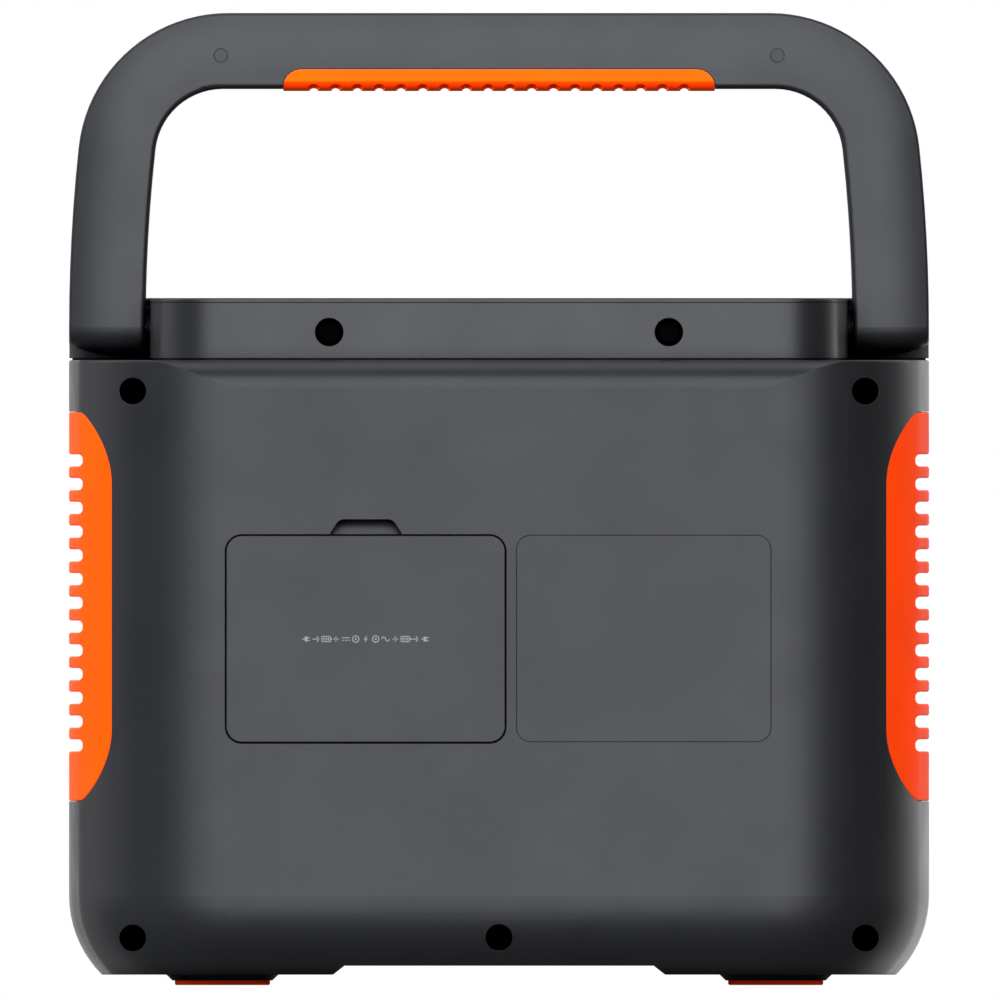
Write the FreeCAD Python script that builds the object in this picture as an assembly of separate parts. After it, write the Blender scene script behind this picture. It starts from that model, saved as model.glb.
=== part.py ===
import FreeCAD, Part
import math
import os
from collections import namedtuple

# Portable power station with a folding handle, as separate solids, in millimetres.
# Frame: origin at the centre of the footprint on the ground, +Z up, the control side faces -Y,
# the rear with the input door faces +Y.

V = FreeCAD.Vector
X_AXIS = V(1, 0, 0)
Y_AXIS = V(0, 1, 0)
Z_AXIS = V(0, 0, 1)

# ---------------------------------------------------------------- driving dimensions
# An outline has gently bowed sides, round corners and straight ends.
Outline = namedtuple("Outline", "half_width side_radius corner_radius half_depth")
BODY = Outline(178.0, 700.0, 62.2, 130.0)
DECK = Outline(144.5, 666.5, 24.5, 96.5)
GRIP_OPENING = Outline(146.2, 668.5, 28.0, 98.5)

WALL = 3.0
SHELL_SPLIT = 0.1                 # half of the seam between front and rear shell
LIP_DEPTH = 3.0
BASE_Z = 4.3                      # underside of the case
CHANNEL_Z = 8.0                   # raised strip along the middle of the underside
CHANNEL_HALF_WIDTH = 64.0
LOWER_ROUND = 46.0                # radius of the tucked-in lower edge
LOWER_ROUND_TOP_Z = 37.0
LOWER_EDGE_ROUND = 1.2
LEDGE_Z = 258.7                   # top of the case, where the folded handle rests
LEDGE_EDGE_ROUND = 1.0
DECK_Z = 284.4
LID_OPENING_HALF_WIDTH = 120.0
LID_OPENING_FRONT_Y = -100.0
LID_OPENING_REAR_Y = 72.0
LID_OPENING_CORNER = 12.0
LIP_STOP_MARGIN = 4.0

# Handle
PIVOT_Z = 272.4
HANDLE_HALF_THICKNESS = 12.3
CROWN_RADIUS = 60.0               # both faces fall away towards the outer rim
CROWN_WIDTH = 24.0                # from the rim to where a face becomes flat
RIM_ROUND = 1.6
SECTION_DEPTH = 36.0
INNER_EDGE_ROUND = 2.4
HOLLOW_INSET = 8.0                # from the rim to the hollow inside the handle
HOLLOW_HALF_THICKNESS = 7.5
HANDLE_WALL = 3.0
HANDLE_SPLIT = 0.08               # half of the hairline gap between the two covers
CORE_INSET = 9.0
CORE_DEPTH = 10.5
CORE_HALF_THICKNESS = 4.0
EYE_RADIUS = 8.2
EYE_ROOM = 0.2
HINGE_START_X = 150.0
HINGE_LENGTH = 19.5
SHOULDER_REAR_Y = -14.0
GRIP_HALF_LENGTH = 89.3
GRIP_BOTTOM_Z = 370.1
GRIP_TOP_Z = 379.0
GRIP_END_RADIUS = 7.4
GRIP_SEAM = 0.3                   # shadow line round the grip, only as deep as GRIP_SEAM_FLOOR_Y
GRIP_SEAM_FLOOR_Y = 9.0
GRIP_FIT = 0.02
SCALLOPS = 18
SCALLOP_PITCH = 9.02
SCALLOP_RADIUS = 2.0
SCALLOP_BALL_RADIUS = 2.6
GRIP_EDGE_ROUND = 4.6
PLUG_X = 115.2
PLUG_Z = 384.8
PLUG_RADIUS = 2.9
PLUG_CLEARANCE = 0.12
PLUG_Y = (9.4, 11.6)
HANDLE_SCREW_SEAT_Y = 6.4
HANDLE_BOSS_Y = (4.3, 9.0)
HANDLE_BOSS_RADIUS = 4.6
HANDLE_SCREW_RADIUS = 1.45

# Side grilles
GRILLE_HALF_DEPTH = 107.0
GRILLE_Z = (76.2, 237.2)
GRILLE_CORNER = 30.0
GRILLE_GAP = 0.15
GRILLE_THICKNESS = 8.4
GRILLE_EDGE_ROUND = 0.8
GROOVES = 13
GROOVE_PITCH = 9.83
GROOVE_TOP_Z = 217.2
GROOVE_HEIGHT = 5.0
GROOVE_DEPTH = 5.6
GROOVE_ROUND = 1.9
GROOVE_LIP_ROUND = 1.0
VENT_HEIGHT = 2.0
VENT_LENGTH = 24.0
VENT_CENTRES_Y = (-60.0, -30.0, 0.0, 30.0, 60.0)
FLANGE_THICKNESS = 2.0
FLANGE_WIDTH = 1.6

# Rear of the case
DOOR_X = (-3.1, 113.5)
DOOR_Z = (99.9, 186.6)
DOOR_CORNER = 7.0
DOOR_GAP = 0.6
NOTCH_X = (40.4, 69.8)
NOTCH_TOP_Z = 192.8
NOTCH_DEPTH = 5.2                 # at the top; the floor slopes out towards the door
NOTCH_LOW_DEPTH = 2.4
NOTCH_SIDE_SLANT = 3.7
NOTCH_ROUND = 3.5
LABEL_X = (-112.7, -7.1)
LABEL_Z = (100.6, 186.3)
LABEL_CORNER = 6.0
LABEL_RECESS = 0.35
SCOOP_BOTTOM_Z = 247.4            # where the rear face starts to round over to the ledge
CASE_SCREWS = ((151.6, 245.9), (-151.6, 245.9), (151.6, 19.5), (-151.6, 19.5), (0.0, 19.7))
CASE_RECESS_RADIUS = 5.55
DECK_SCREW_X = 70.3
DECK_SCREW_Z = 270.3
DECK_RECESS_RADIUS = 5.9
TOWER_RADIUS = 7.0
TOWER_Y = 24.0                    # where a rear screw tower meets its front boss
TOWER_FLOOR = 3.0
BOSS_BORE_Y = -60.0
SCREW_TIP_Y = -20.0
BOSS_RADIUS = 5.0
SCREW_RADIUS = 1.6
SCREW_HOLE_RADIUS = 2.2
SCREW_HEAD_RADIUS = 4.0
SCREW_HEAD_HEIGHT = 3.2
SCREW_DRIVE_RADIUS = 1.6
SCREW_DRIVE_DEPTH = 1.8
DECK_SCREW_SEAT_Y = 65.0
DECK_BOSS_RADIUS = 7.4
DECK_EDGE_ROUND = 1.0
REVEAL_HEIGHT = 0.8               # shadow gap round the foot of the deck
REVEAL_DEPTH = 1.2
RIM_LINE_Z = (DECK_Z - 2.0, DECK_Z - 1.7)   # fine line under the edge of the deck
RIM_LINE_DEPTH = 0.35
DECK_BLEND_Y = -60.0

# Hinge and door pins
PIN_RADIUS = 5.0
PIN_CLEARANCE = 0.05
BUSH_RADIUS = 7.0
DOOR_PIN_RADIUS = 1.1
DOOR_BARREL_RADIUS = 2.1
DOOR_HINGE_Y = BODY.half_depth - DOOR_BARREL_RADIUS
DOOR_HINGE_Z = DOOR_Z[0] + DOOR_CORNER      # level with the lower corners' centres

# Input connectors inside the door
INPUT_Z = 166.0
AC_INLET_X = 84.0
JACK_X = (54.0, 38.0)
EXPANSION_X = 12.0
BREAKER_X = 106.0
BREAKER_RADIUS = 3.6

# Front of the case
FASCIA_X = (-106.0, 106.0)
FASCIA_Z = (60.0, 234.0)
FASCIA_CORNER = 16.0
FASCIA_LIP = 5.5
FASCIA_EDGE_ROUND = 1.4
FASCIA_THICKNESS = 3.0
DISPLAY_X = (-52.0, 52.0)
DISPLAY_Z = (182.0, 226.0)
LAMP_X = (58.0, 102.0)
LAMP_Z = (210.0, 226.0)
OUTLET_X = (-28.0, 22.0, 72.0)
OUTLET_Z = 98.0
OUTLET_SIZE = 38.0
USB_Z = 150.0
USB_C_X = (-46.0, -28.0)
USB_A_X = (-6.0, 16.0)
SOCKET_X = 70.0
SOCKET_Z = 146.0
SOCKET_RADIUS = 12.5
CAP_Y = BODY.half_depth - WALL + 0.7
CAP_HINGE_Z = SOCKET_Z + 17.0
BUTTON_GAP = 0.15
BUTTON_PROUD = 1.5
BUTTON_EDGE_ROUND = 0.6
SKIRT_WIDTH = 1.4
SKIRT_THICKNESS = 1.2
STEM_RADIUS = 1.5
# name: (x, z, radius)
BUTTONS = {
    "main_power_button": (-80.0, 204.0, 10.0),
    "lamp_button": (80.0, 192.0, 6.5),
    "dc_button": (-80.0, 150.0, 8.0),
    "ac_button": (-80.0, 98.0, 8.0),
}

# Inside
BAY_X = (-9.2, 119.6)
BAY_Z = (94.0, 197.0)
BAY_BACK_Y = 97.0
CELL = (140.0, 22.0, 98.0)
CELL_GAP = 1.0
CELL_BASE_Z = 30.5
CELL_ROWS = 8
CELL_COLUMNS = 2
PLATE_Z = 144.0
BOARD_Z = 155.0
FAN_X = (137.0, 161.0)
FAN_SIZE = 80.0
FAN_CENTRE_Z = 192.0
FAN_CENTRES_Y = (-42.0, 42.0)
FAN_DUCT_RADIUS = 38.0
FAN_ROTOR_RADIUS = 36.5

FEET_X = 114.5
FEET_Y = 86.0
FOOT_SIZE = (39.4, 30.0)
FOOT_HEIGHT = 2.4
FOOT_CORNER = 5.0
FOOT_EDGE_ROUND = 0.8
FOOT_PLUG_RADIUS = 6.0
HOLDER_TOP_MARGIN = 4.0
HOLDER_LOW_MARGIN = 1.0
HOLDER_LOW_Z = 1.9

FRONT_INNER_Y = -(BODY.half_depth - WALL)
REAR_INNER_Y = BODY.half_depth - WALL
FASCIA_BACK_Y = FRONT_INNER_Y + FASCIA_THICKNESS
BIG = 400.0


# ---------------------------------------------------------------- basic shapes
def box(x_range, y_range, z_range):
    """Block between the given low and high coordinates."""
    size = [high - low for low, high in (x_range, y_range, z_range)]
    return Part.makeBox(*size, V(x_range[0], y_range[0], z_range[0]))


def rounded_box(x_range, y_range, z_range, radius, axis):
    """Block whose four edges along one axis are rounded."""
    block = box(x_range, y_range, z_range)
    chosen = []
    for edge in block.Edges:
        if abs(edge.tangentAt(edge.FirstParameter).dot(axis)) > 0.9:
            chosen.append(edge)
    return block.makeFillet(radius, chosen)


def rod(start, axis, length, radius):
    """Solid cylinder from a start point."""
    return Part.makeCylinder(radius, length, start, axis)


def tube(start, axis, length, outer, inner):
    """Cylinder with a through bore."""
    return rod(start, axis, length, outer).cut(rod(start, axis, length, inner))


def fuse_all(shapes):
    """One shape from several touching or crossing solids."""
    result = shapes[0]
    if len(shapes) > 1:
        result = result.multiFuse(shapes[1:])
    return result.removeSplitter()


def mirrored(shape):
    """The same shape on the other side of the plane X = 0."""
    return shape.mirror(V(0, 0, 0), X_AXIS)


def both_sides(shape):
    """A shape and its mirror image, as two solids."""
    return Part.makeCompound([shape, mirrored(shape)])


def polygon_prism(points, direction):
    """Extrude a closed polygon."""
    wire = Part.makePolygon([V(*point) for point in points] + [V(*points[0])])
    return Part.Face(wire).extrude(direction)


def edges_where(shape, test):
    """Edges whose bounding box passes a test."""
    return [edge for edge in shape.Edges if test(edge.BoundBox)]


# ---------------------------------------------------------------- outlines
def inset(outline, distance):
    """Outline moved inwards all round by a distance."""
    return Outline(*(value - distance for value in outline))


def arc(centre_x, centre_y, radius, start, end):
    """Arc in the XY plane between two angles in radians."""
    circle = Part.Circle(V(centre_x, centre_y, 0), Z_AXIS, radius)
    return Part.ArcOfCircle(circle, start, end).toShape()


def outline_face(outline):
    """Flat face in the XY plane inside an outline."""
    side_x = outline.half_width - outline.side_radius
    corner_y = outline.half_depth - outline.corner_radius
    reach = outline.side_radius - outline.corner_radius
    turn = math.asin(corner_y / reach)
    corner_x = side_x + reach * math.cos(turn)
    quarter = math.pi / 2
    half = math.pi
    edges = [
        arc(side_x, 0, outline.side_radius, -turn, turn),
        arc(corner_x, corner_y, outline.corner_radius, turn, quarter),
        Part.makeLine(V(corner_x, outline.half_depth, 0), V(-corner_x, outline.half_depth, 0)),
        arc(-corner_x, corner_y, outline.corner_radius, quarter, half - turn),
        arc(-side_x, 0, outline.side_radius, half - turn, half + turn),
        arc(-corner_x, -corner_y, outline.corner_radius, half + turn, 3 * quarter),
        Part.makeLine(V(-corner_x, -outline.half_depth, 0), V(corner_x, -outline.half_depth, 0)),
        arc(corner_x, -corner_y, outline.corner_radius, 3 * quarter, 2 * half - turn),
    ]
    return Part.Face(Part.Wire(edges))


def upright_prism(outline, low, high):
    """Outline in plan, extruded upwards between two heights."""
    face = outline_face(outline)
    face.translate(V(0, 0, low))
    return face.extrude(V(0, 0, high - low))


def case_block(distance):
    """Solid inside the case surface moved inwards by a distance."""
    radius = LOWER_ROUND - distance
    start_z = LOWER_ROUND_TOP_Z - radius
    block = upright_prism(inset(BODY, distance), start_z, LEDGE_Z - distance)
    rim = edges_where(block, lambda b: b.ZMax < start_z + 0.01)
    block = block.makeFillet(radius, rim)
    block = block.cut(box((-BIG, BIG), (-BIG, BIG), (start_z - 1, BASE_Z + distance)))
    half = CHANNEL_HALF_WIDTH + distance
    ramp = 6.0
    low = BASE_Z + distance - 1
    high = CHANNEL_Z + distance
    channel = polygon_prism(
        [(-half - ramp, -BIG, low), (half + ramp, -BIG, low), (half, -BIG, high), (-half, -BIG, high)],
        V(0, 2 * BIG, 0))
    return block.cut(channel)


# ---------------------------------------------------------------- case
def towers(radius, low_y, high_y):
    """Round pillars along Y at the case screws."""
    return [rod(V(x, low_y, z), Y_AXIS, high_y - low_y, radius) for x, z in CASE_SCREWS]


def grille_window(margin, low_x=140.0):
    """Rounded block through one side wall, larger than the grille by a margin."""
    depth = GRILLE_HALF_DEPTH + margin
    heights = (GRILLE_Z[0] - margin, GRILLE_Z[1] + margin)
    return rounded_box((low_x, BIG), (-depth, depth), heights, GRILLE_CORNER + margin, X_AXIS)


def rear_edge_cut(distance):
    """What lies outside the rounded upper rear edge, moved inwards by a distance."""
    rear = BODY.half_depth
    radius = LEDGE_Z - SCOOP_BOTTOM_Z
    corner = box((-BIG, BIG), (rear - radius, rear + 10), (SCOOP_BOTTOM_Z, LEDGE_Z + 1))
    return corner.cut(rod(V(-BIG, rear - radius, SCOOP_BOTTOM_Z), X_AXIS, 2 * BIG, radius - distance))


def case_walls():
    """The whole hollow case before it is parted into a front and a rear shell."""
    outer = case_block(0.0)
    corner_edges = edges_where(outer, lambda b: b.ZMin > LEDGE_Z - 0.01)
    outer = outer.makeFillet(LEDGE_EDGE_ROUND, corner_edges)
    lower_edges = edges_where(
        outer, lambda b: b.ZMax < BASE_Z + 0.01 and (b.XLength < 100 or b.YLength < 1))
    outer = outer.makeFillet(LOWER_EDGE_ROUND, lower_edges)
    outer = outer.cut(rear_edge_cut(0.0))
    lid = rounded_box(
        (-LID_OPENING_HALF_WIDTH, LID_OPENING_HALF_WIDTH), (LID_OPENING_FRONT_Y, LID_OPENING_REAR_Y),
        (LEDGE_Z - 2 * WALL, LEDGE_Z + 1), LID_OPENING_CORNER, Z_AXIS)
    cavity = case_block(WALL).cut(rear_edge_cut(WALL))
    return outer.cut([cavity, lid])


def foot_places():
    """Signs of the four feet in X and Y with their names."""
    return {
        "foot_front_left": (-1, -1), "foot_front_right": (1, -1),
        "foot_rear_left": (-1, 1), "foot_rear_right": (1, 1),
    }


def foot_pad_outline(margin, corner, z):
    """Closed outline of a foot pad's footprint, grown by a margin, at a height."""
    half_x = FOOT_SIZE[0] / 2 + margin
    half_y = FOOT_SIZE[1] / 2 + margin
    slab = rounded_box((-half_x, half_x), (-half_y, half_y), (z - 1, z), corner, Z_AXIS)
    return max(slab.Faces, key=lambda face: face.CenterOfMass.z).OuterWire


def foot_holder(sign_x, sign_y):
    """Sloping boss under the case that a foot pad sits in."""
    low = foot_pad_outline(HOLDER_LOW_MARGIN, FOOT_CORNER + HOLDER_LOW_MARGIN, HOLDER_LOW_Z)
    top = foot_pad_outline(HOLDER_TOP_MARGIN, FOOT_CORNER + WALL, BASE_Z + 0.5)
    holder = Part.makeLoft([low, top], True, True)
    holder.translate(V(sign_x * FEET_X, sign_y * FEET_Y, 0))
    return holder


def foot(sign_x, sign_y):
    """Soft pad with a plug that presses into the case floor."""
    width, depth = FOOT_SIZE
    pad = rounded_box((-width / 2, width / 2), (-depth / 2, depth / 2), (0, FOOT_HEIGHT),
                      FOOT_CORNER, Z_AXIS)
    pad = pad.makeFillet(FOOT_EDGE_ROUND, edges_where(pad, lambda b: b.ZMax < 0.01))
    plug_height = BASE_Z + WALL + 0.6 - FOOT_HEIGHT
    shape = pad.fuse(rod(V(0, 0, FOOT_HEIGHT), Z_AXIS, plug_height, FOOT_PLUG_RADIUS))
    shape.translate(V(sign_x * FEET_X, sign_y * FEET_Y, 0))
    return shape


def case_lip(y_range, openings):
    """Thin band inside the parting seam that joins the lip to the rear shell."""
    band_zone = box((-BIG, BIG), y_range, (-BIG, BIG))
    half = LID_OPENING_HALF_WIDTH + LIP_STOP_MARGIN
    lid_zone = box((-half, half), (-BIG, BIG), (LEDGE_Z - 20, LEDGE_Z + 20))
    lip = case_block(WALL / 2).cut(case_block(WALL)).common(band_zone)
    return lip.cut(openings + [lid_zone])


def case_shells():
    """Front and rear shells, parted at Y = 0 with an overlapping lip."""
    walls = case_walls()
    walls = walls.multiFuse([foot_holder(*signs) for signs in foot_places().values()])
    window = grille_window(GRILLE_GAP)
    windows = [window, mirrored(window)]
    feet = [foot(*signs) for signs in foot_places().values()]
    walls = walls.cut(windows + feet)
    lip = case_lip((-LIP_DEPTH, 0.0), windows)
    bridge = case_lip((-SHELL_SPLIT / 2, SHELL_SPLIT * 1.5), windows)
    front = walls.common(box((-BIG, BIG), (-BIG, -SHELL_SPLIT), (-BIG, BIG)))
    rear = walls.common(box((-BIG, BIG), (SHELL_SPLIT, BIG), (-BIG, BIG)))
    return front_shell(front.cut(lip)), rear_shell(rear.multiFuse([lip, bridge]))


def front_shell(shell):
    """Front half with the fascia opening and the five screw bosses."""
    opening = rounded_box(FASCIA_X, (-BIG, FRONT_INNER_Y + 1), FASCIA_Z, FASCIA_CORNER, Y_AXIS)
    shell = shell.cut(opening)
    rim = edges_where(
        shell, lambda b: b.YMax < -BODY.half_depth + 0.01 and b.YMin > -BODY.half_depth - 0.01
        and b.XMin > FASCIA_X[0] - 0.1 and b.XMax < FASCIA_X[1] + 0.1
        and b.ZMin > FASCIA_Z[0] - 0.1 and b.ZMax < FASCIA_Z[1] + 0.1)
    shell = shell.makeFillet(FASCIA_EDGE_ROUND, rim)
    pillars = towers(BOSS_RADIUS, FRONT_INNER_Y - WALL / 2, TOWER_Y - TOWER_FLOOR)
    shell = shell.multiFuse([pillar.common(case_block(0.5)) for pillar in pillars])
    return shell.cut(towers(SCREW_RADIUS, BOSS_BORE_Y, TOWER_Y))


def door_block(gap, y_range):
    """Rounded block for the door or its opening."""
    return rounded_box(
        (DOOR_X[0] + gap, DOOR_X[1] - gap), y_range, (DOOR_Z[0] + gap, DOOR_Z[1] - gap),
        DOOR_CORNER - gap, Y_AXIS)


def finger_notch():
    """Scooped recess above the door for a fingertip, with its floor sloping out to the door."""
    rear = BODY.half_depth
    low_z = DOOR_Z[1] - 2
    shoulder_z = DOOR_Z[1] + 0.6
    points = [
        (NOTCH_X[0], rear + 1, low_z), (NOTCH_X[1], rear + 1, low_z),
        (NOTCH_X[1], rear + 1, shoulder_z), (NOTCH_X[1] - NOTCH_SIDE_SLANT, rear + 1, NOTCH_TOP_Z),
        (NOTCH_X[0] + NOTCH_SIDE_SLANT, rear + 1, NOTCH_TOP_Z), (NOTCH_X[0], rear + 1, shoulder_z),
    ]
    notch = polygon_prism(points, V(0, -NOTCH_DEPTH - 1, 0))
    upper = [edge for edge in notch.Edges
             if abs(edge.tangentAt(edge.FirstParameter).dot(Y_AXIS)) > 0.9
             and edge.BoundBox.ZMin > NOTCH_TOP_Z - 0.1]
    notch = notch.makeFillet(NOTCH_ROUND, upper)
    slope = polygon_prism(
        [(-BIG, rear - NOTCH_LOW_DEPTH, low_z), (-BIG, rear - NOTCH_DEPTH, NOTCH_TOP_Z),
         (-BIG, rear + 2, NOTCH_TOP_Z), (-BIG, rear + 2, low_z)], V(2 * BIG, 0, 0))
    return notch.common(slope)


def notch_pocket():
    """Wall behind the finger notch."""
    return box((NOTCH_X[0] - 1, NOTCH_X[1] + 1), (REAR_INNER_Y - 4, REAR_INNER_Y + 0.5),
               (DOOR_Z[1], NOTCH_TOP_Z + 1.5))


def rear_shell(shell):
    """Rear half with screw towers, door opening, door lugs and label recess."""
    pillars = [pillar.common(case_block(0.0)) for pillar in towers(TOWER_RADIUS, TOWER_Y, BIG)]
    lug_y = (REAR_INNER_Y - 4.0, REAR_INNER_Y + 1.0)
    lug_z = (DOOR_HINGE_Z - 3.5, DOOR_HINGE_Z + 3.5)
    lugs = [
        box((DOOR_X[0] - 4.0, DOOR_X[0]), lug_y, lug_z),
        box((DOOR_X[1], DOOR_X[1] + 3.0), lug_y, lug_z),
    ]
    opening = door_block(0.0, (REAR_INNER_Y - 1, BIG))
    label = rounded_box(LABEL_X, (BODY.half_depth - LABEL_RECESS, BIG), LABEL_Z, LABEL_CORNER, Y_AXIS)
    edge_cut = rear_edge_cut(0.0)
    pillars = [pillar.cut(edge_cut) for pillar in pillars]
    shell = shell.multiFuse(pillars + [notch_pocket()])
    shell = shell.cut([opening, label, finger_notch()])
    shell = shell.multiFuse(lugs)
    recesses = towers(CASE_RECESS_RADIUS, TOWER_Y + TOWER_FLOOR, BIG)
    shanks = towers(SCREW_HOLE_RADIUS, TOWER_Y - 1, TOWER_Y + TOWER_FLOOR + 1)
    return shell.cut(recesses + shanks + [door_pin_rod(DOOR_PIN_RADIUS)])


def pan_head_screw(x, seat_y, z, tip_y):
    """Screw along Y with its head resting on a seat and a round drive recess."""
    head = rod(V(x, seat_y, z), Y_AXIS, SCREW_HEAD_HEIGHT, SCREW_HEAD_RADIUS)
    drive_y = seat_y + SCREW_HEAD_HEIGHT - SCREW_DRIVE_DEPTH
    drive = rod(V(x, drive_y, z), Y_AXIS, SCREW_DRIVE_DEPTH + 1, SCREW_DRIVE_RADIUS)
    shank = rod(V(x, tip_y, z), Y_AXIS, seat_y - tip_y + 0.5, SCREW_RADIUS)
    return head.fuse(shank).cut(drive)


def shell_screws():
    """Pan-head screws deep in the rear towers."""
    seat_y = TOWER_Y + TOWER_FLOOR
    return Part.makeCompound([pan_head_screw(x, seat_y, z, SCREW_TIP_Y) for x, z in CASE_SCREWS])


# ---------------------------------------------------------------- top cover
def lid_block(distance, top_z):
    """Solid of the top cover moved inwards: wide shoulders in front, narrower deck behind."""
    deck = upright_prism(inset(DECK, distance), LEDGE_Z, top_z)
    shoulders = upright_prism(inset(BODY, distance), LEDGE_Z, top_z)
    rear_limit = SHOULDER_REAR_Y - distance
    shoulders = shoulders.common(box((-BIG, BIG), (-BIG, rear_limit), (0, BIG)))
    deck = deck.common(box((-BIG, BIG), (DECK_BLEND_Y, BIG), (0, BIG)))
    return shoulders.fuse(deck).removeSplitter()


def top_cover():
    """Raised deck with the two shoulders beside the handle roots."""
    outer = lid_block(0.0, DECK_Z)
    top_edges = edges_where(outer, lambda b: b.ZMin > DECK_Z - 0.01)
    outer = outer.makeFillet(DECK_EDGE_ROUND, top_edges)
    reveal = box((-BIG, BIG), (-BIG, BIG), (LEDGE_Z - 1, LEDGE_Z + REVEAL_HEIGHT))
    reveal = reveal.cut(lid_block(REVEAL_DEPTH, LEDGE_Z + REVEAL_HEIGHT + 1))
    rim_line = box((-BIG, BIG), (-BIG, BIG), RIM_LINE_Z).cut(lid_block(RIM_LINE_DEPTH, DECK_Z))
    cover = outer.cut([lid_block(WALL, DECK_Z - WALL), reveal, rim_line])
    bosses = []
    recesses = []
    for x in (-DECK_SCREW_X, DECK_SCREW_X):
        seat = V(x, DECK_SCREW_SEAT_Y, DECK_SCREW_Z)
        boss_start = seat - Y_AXIS * WALL
        boss_length = DECK.half_depth - 1 - boss_start.y
        bosses.append(rod(boss_start, Y_AXIS, boss_length, DECK_BOSS_RADIUS))
        recesses.append(rod(seat, Y_AXIS, BIG, DECK_RECESS_RADIUS))
        recesses.append(rod(boss_start, Y_AXIS, 2 * WALL, SCREW_HOLE_RADIUS))
    pin_holes = rod(V(-BIG, 0, PIVOT_Z), X_AXIS, 2 * BIG, PIN_RADIUS)
    return cover.multiFuse(bosses).cut(recesses + [pin_holes])


def top_cover_screws():
    """Two screws in the deck's rear face, driven into a cross lug of the hinge frame."""
    tip_y = DECK_SCREW_SEAT_Y - 19.0
    screws = [pan_head_screw(x, DECK_SCREW_SEAT_Y, DECK_SCREW_Z, tip_y)
              for x in (-DECK_SCREW_X, DECK_SCREW_X)]
    return Part.makeCompound(screws)


# ---------------------------------------------------------------- handle and hinge
def standing_prism(outline, half_thickness):
    """Outline standing in the XZ plane above the pivot, extruded along Y."""
    face = outline_face(outline)
    face.rotate(V(0, 0, 0), X_AXIS, 90)
    face.translate(V(0, half_thickness, PIVOT_Z))
    return face.extrude(V(0, -2 * half_thickness, 0))


def band(outer_inset, inner_inset, half_thickness):
    """Plain arch inside the handle, between its outer and inner outlines."""
    outer = standing_prism(inset(BODY, outer_inset), half_thickness)
    inner = standing_prism(inset(GRIP_OPENING, -inner_inset), half_thickness)
    upper = box((-BIG, BIG), (-BIG, BIG), (PIVOT_Z, 2 * BIG))
    return outer.cut(inner).common(upper)


def outline_corner(outline):
    """Centre of an outline's corner arc."""
    corner_y = outline.half_depth - outline.corner_radius
    reach = outline.side_radius - outline.corner_radius
    side_x = outline.half_width - outline.side_radius
    return side_x + math.sqrt(reach ** 2 - corner_y ** 2), corner_y


def side_tangent_height(outline):
    """Distance from the centre line at which the side arc meets the corner arc."""
    corner_y = outline.half_depth - outline.corner_radius
    reach = outline.side_radius - outline.corner_radius
    return outline.side_radius * corner_y / reach


def crown_section(outer, depth):
    """Half section of the handle: flat face, wide crown, small round at the rim."""
    half = HANDLE_HALF_THICKNESS
    crown_x = outer - CROWN_WIDTH
    crown_y = half - CROWN_RADIUS
    rim_x = outer - RIM_ROUND
    rise = math.sqrt((CROWN_RADIUS - RIM_ROUND) ** 2 - (CROWN_WIDTH - RIM_ROUND) ** 2)
    rim_y = crown_y + rise
    lean = math.atan2(rise, CROWN_WIDTH - RIM_ROUND)
    inner = outer - depth
    edges = [
        Part.makeLine(V(outer, 0, 0), V(outer, rim_y, 0)),
        arc(rim_x, rim_y, RIM_ROUND, 0, lean),
        arc(crown_x, crown_y, CROWN_RADIUS, lean, math.pi / 2),
        Part.makeLine(V(crown_x, half, 0), V(inner, half, 0)),
        Part.makeLine(V(inner, half, 0), V(inner, 0, 0)),
        Part.makeLine(V(inner, 0, 0), V(outer, 0, 0)),
    ]
    return Part.Face(Part.Wire(edges))


def turned(section, start, sweep, centre):
    """Section swept upwards about a centre in the XZ plane, between two angles in degrees."""
    section.rotate(V(0, 0, 0), -Y_AXIS, start)
    solid = section.revolve(V(0, 0, 0), -Y_AXIS, sweep)
    solid.translate(centre)
    return solid


def handle_block():
    """Outer solid of the handle: crowned arms, corners and crossbar with round lower ends."""
    corner_x, corner_y = outline_corner(BODY)
    side_x = BODY.half_width - BODY.side_radius
    turn = math.degrees(math.atan2(corner_y, corner_x - side_x))
    arm = turned(crown_section(BODY.side_radius, SECTION_DEPTH), 0, turn, V(side_x, 0, PIVOT_Z))
    corner = turned(crown_section(BODY.corner_radius, SECTION_DEPTH), turn, 90 - turn,
                    V(corner_x, 0, PIVOT_Z + corner_y))
    bar = crown_section(BODY.half_depth, SECTION_DEPTH)
    bar.rotate(V(0, 0, 0), -Y_AXIS, 90)
    bar.translate(V(corner_x, 0, PIVOT_Z))
    bar = bar.extrude(V(-corner_x, 0, 0))
    quarter = fuse_all([arm, corner, bar])
    side = quarter.fuse(quarter.mirror(V(0, 0, 0), Y_AXIS))
    side = side.cut(standing_prism(GRIP_OPENING, BIG))
    end = crown_section(BODY.half_width, BODY.half_width - GRIP_OPENING.half_width)
    end.translate(V(0, 0, PIVOT_Z))
    end = end.revolve(V(0, 0, PIVOT_Z), -X_AXIS, 180)
    side = side.fuse(end)
    block = fuse_all([side, mirrored(side)])
    half = HANDLE_HALF_THICKNESS
    inner_limit = GRIP_OPENING.half_width + 1

    def is_inner(bounds):
        """Whether an edge runs along the grip opening in one of the flat faces."""
        flat = abs(abs(bounds.YMin) - half) < 0.01 and bounds.YLength < 0.01
        inside = max(abs(bounds.XMin), abs(bounds.XMax)) < inner_limit
        return flat and inside and bounds.ZMax < PIVOT_Z + GRIP_OPENING.half_depth + 1.5

    return block.makeFillet(INNER_EDGE_ROUND, edges_where(block, is_inner))


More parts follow.
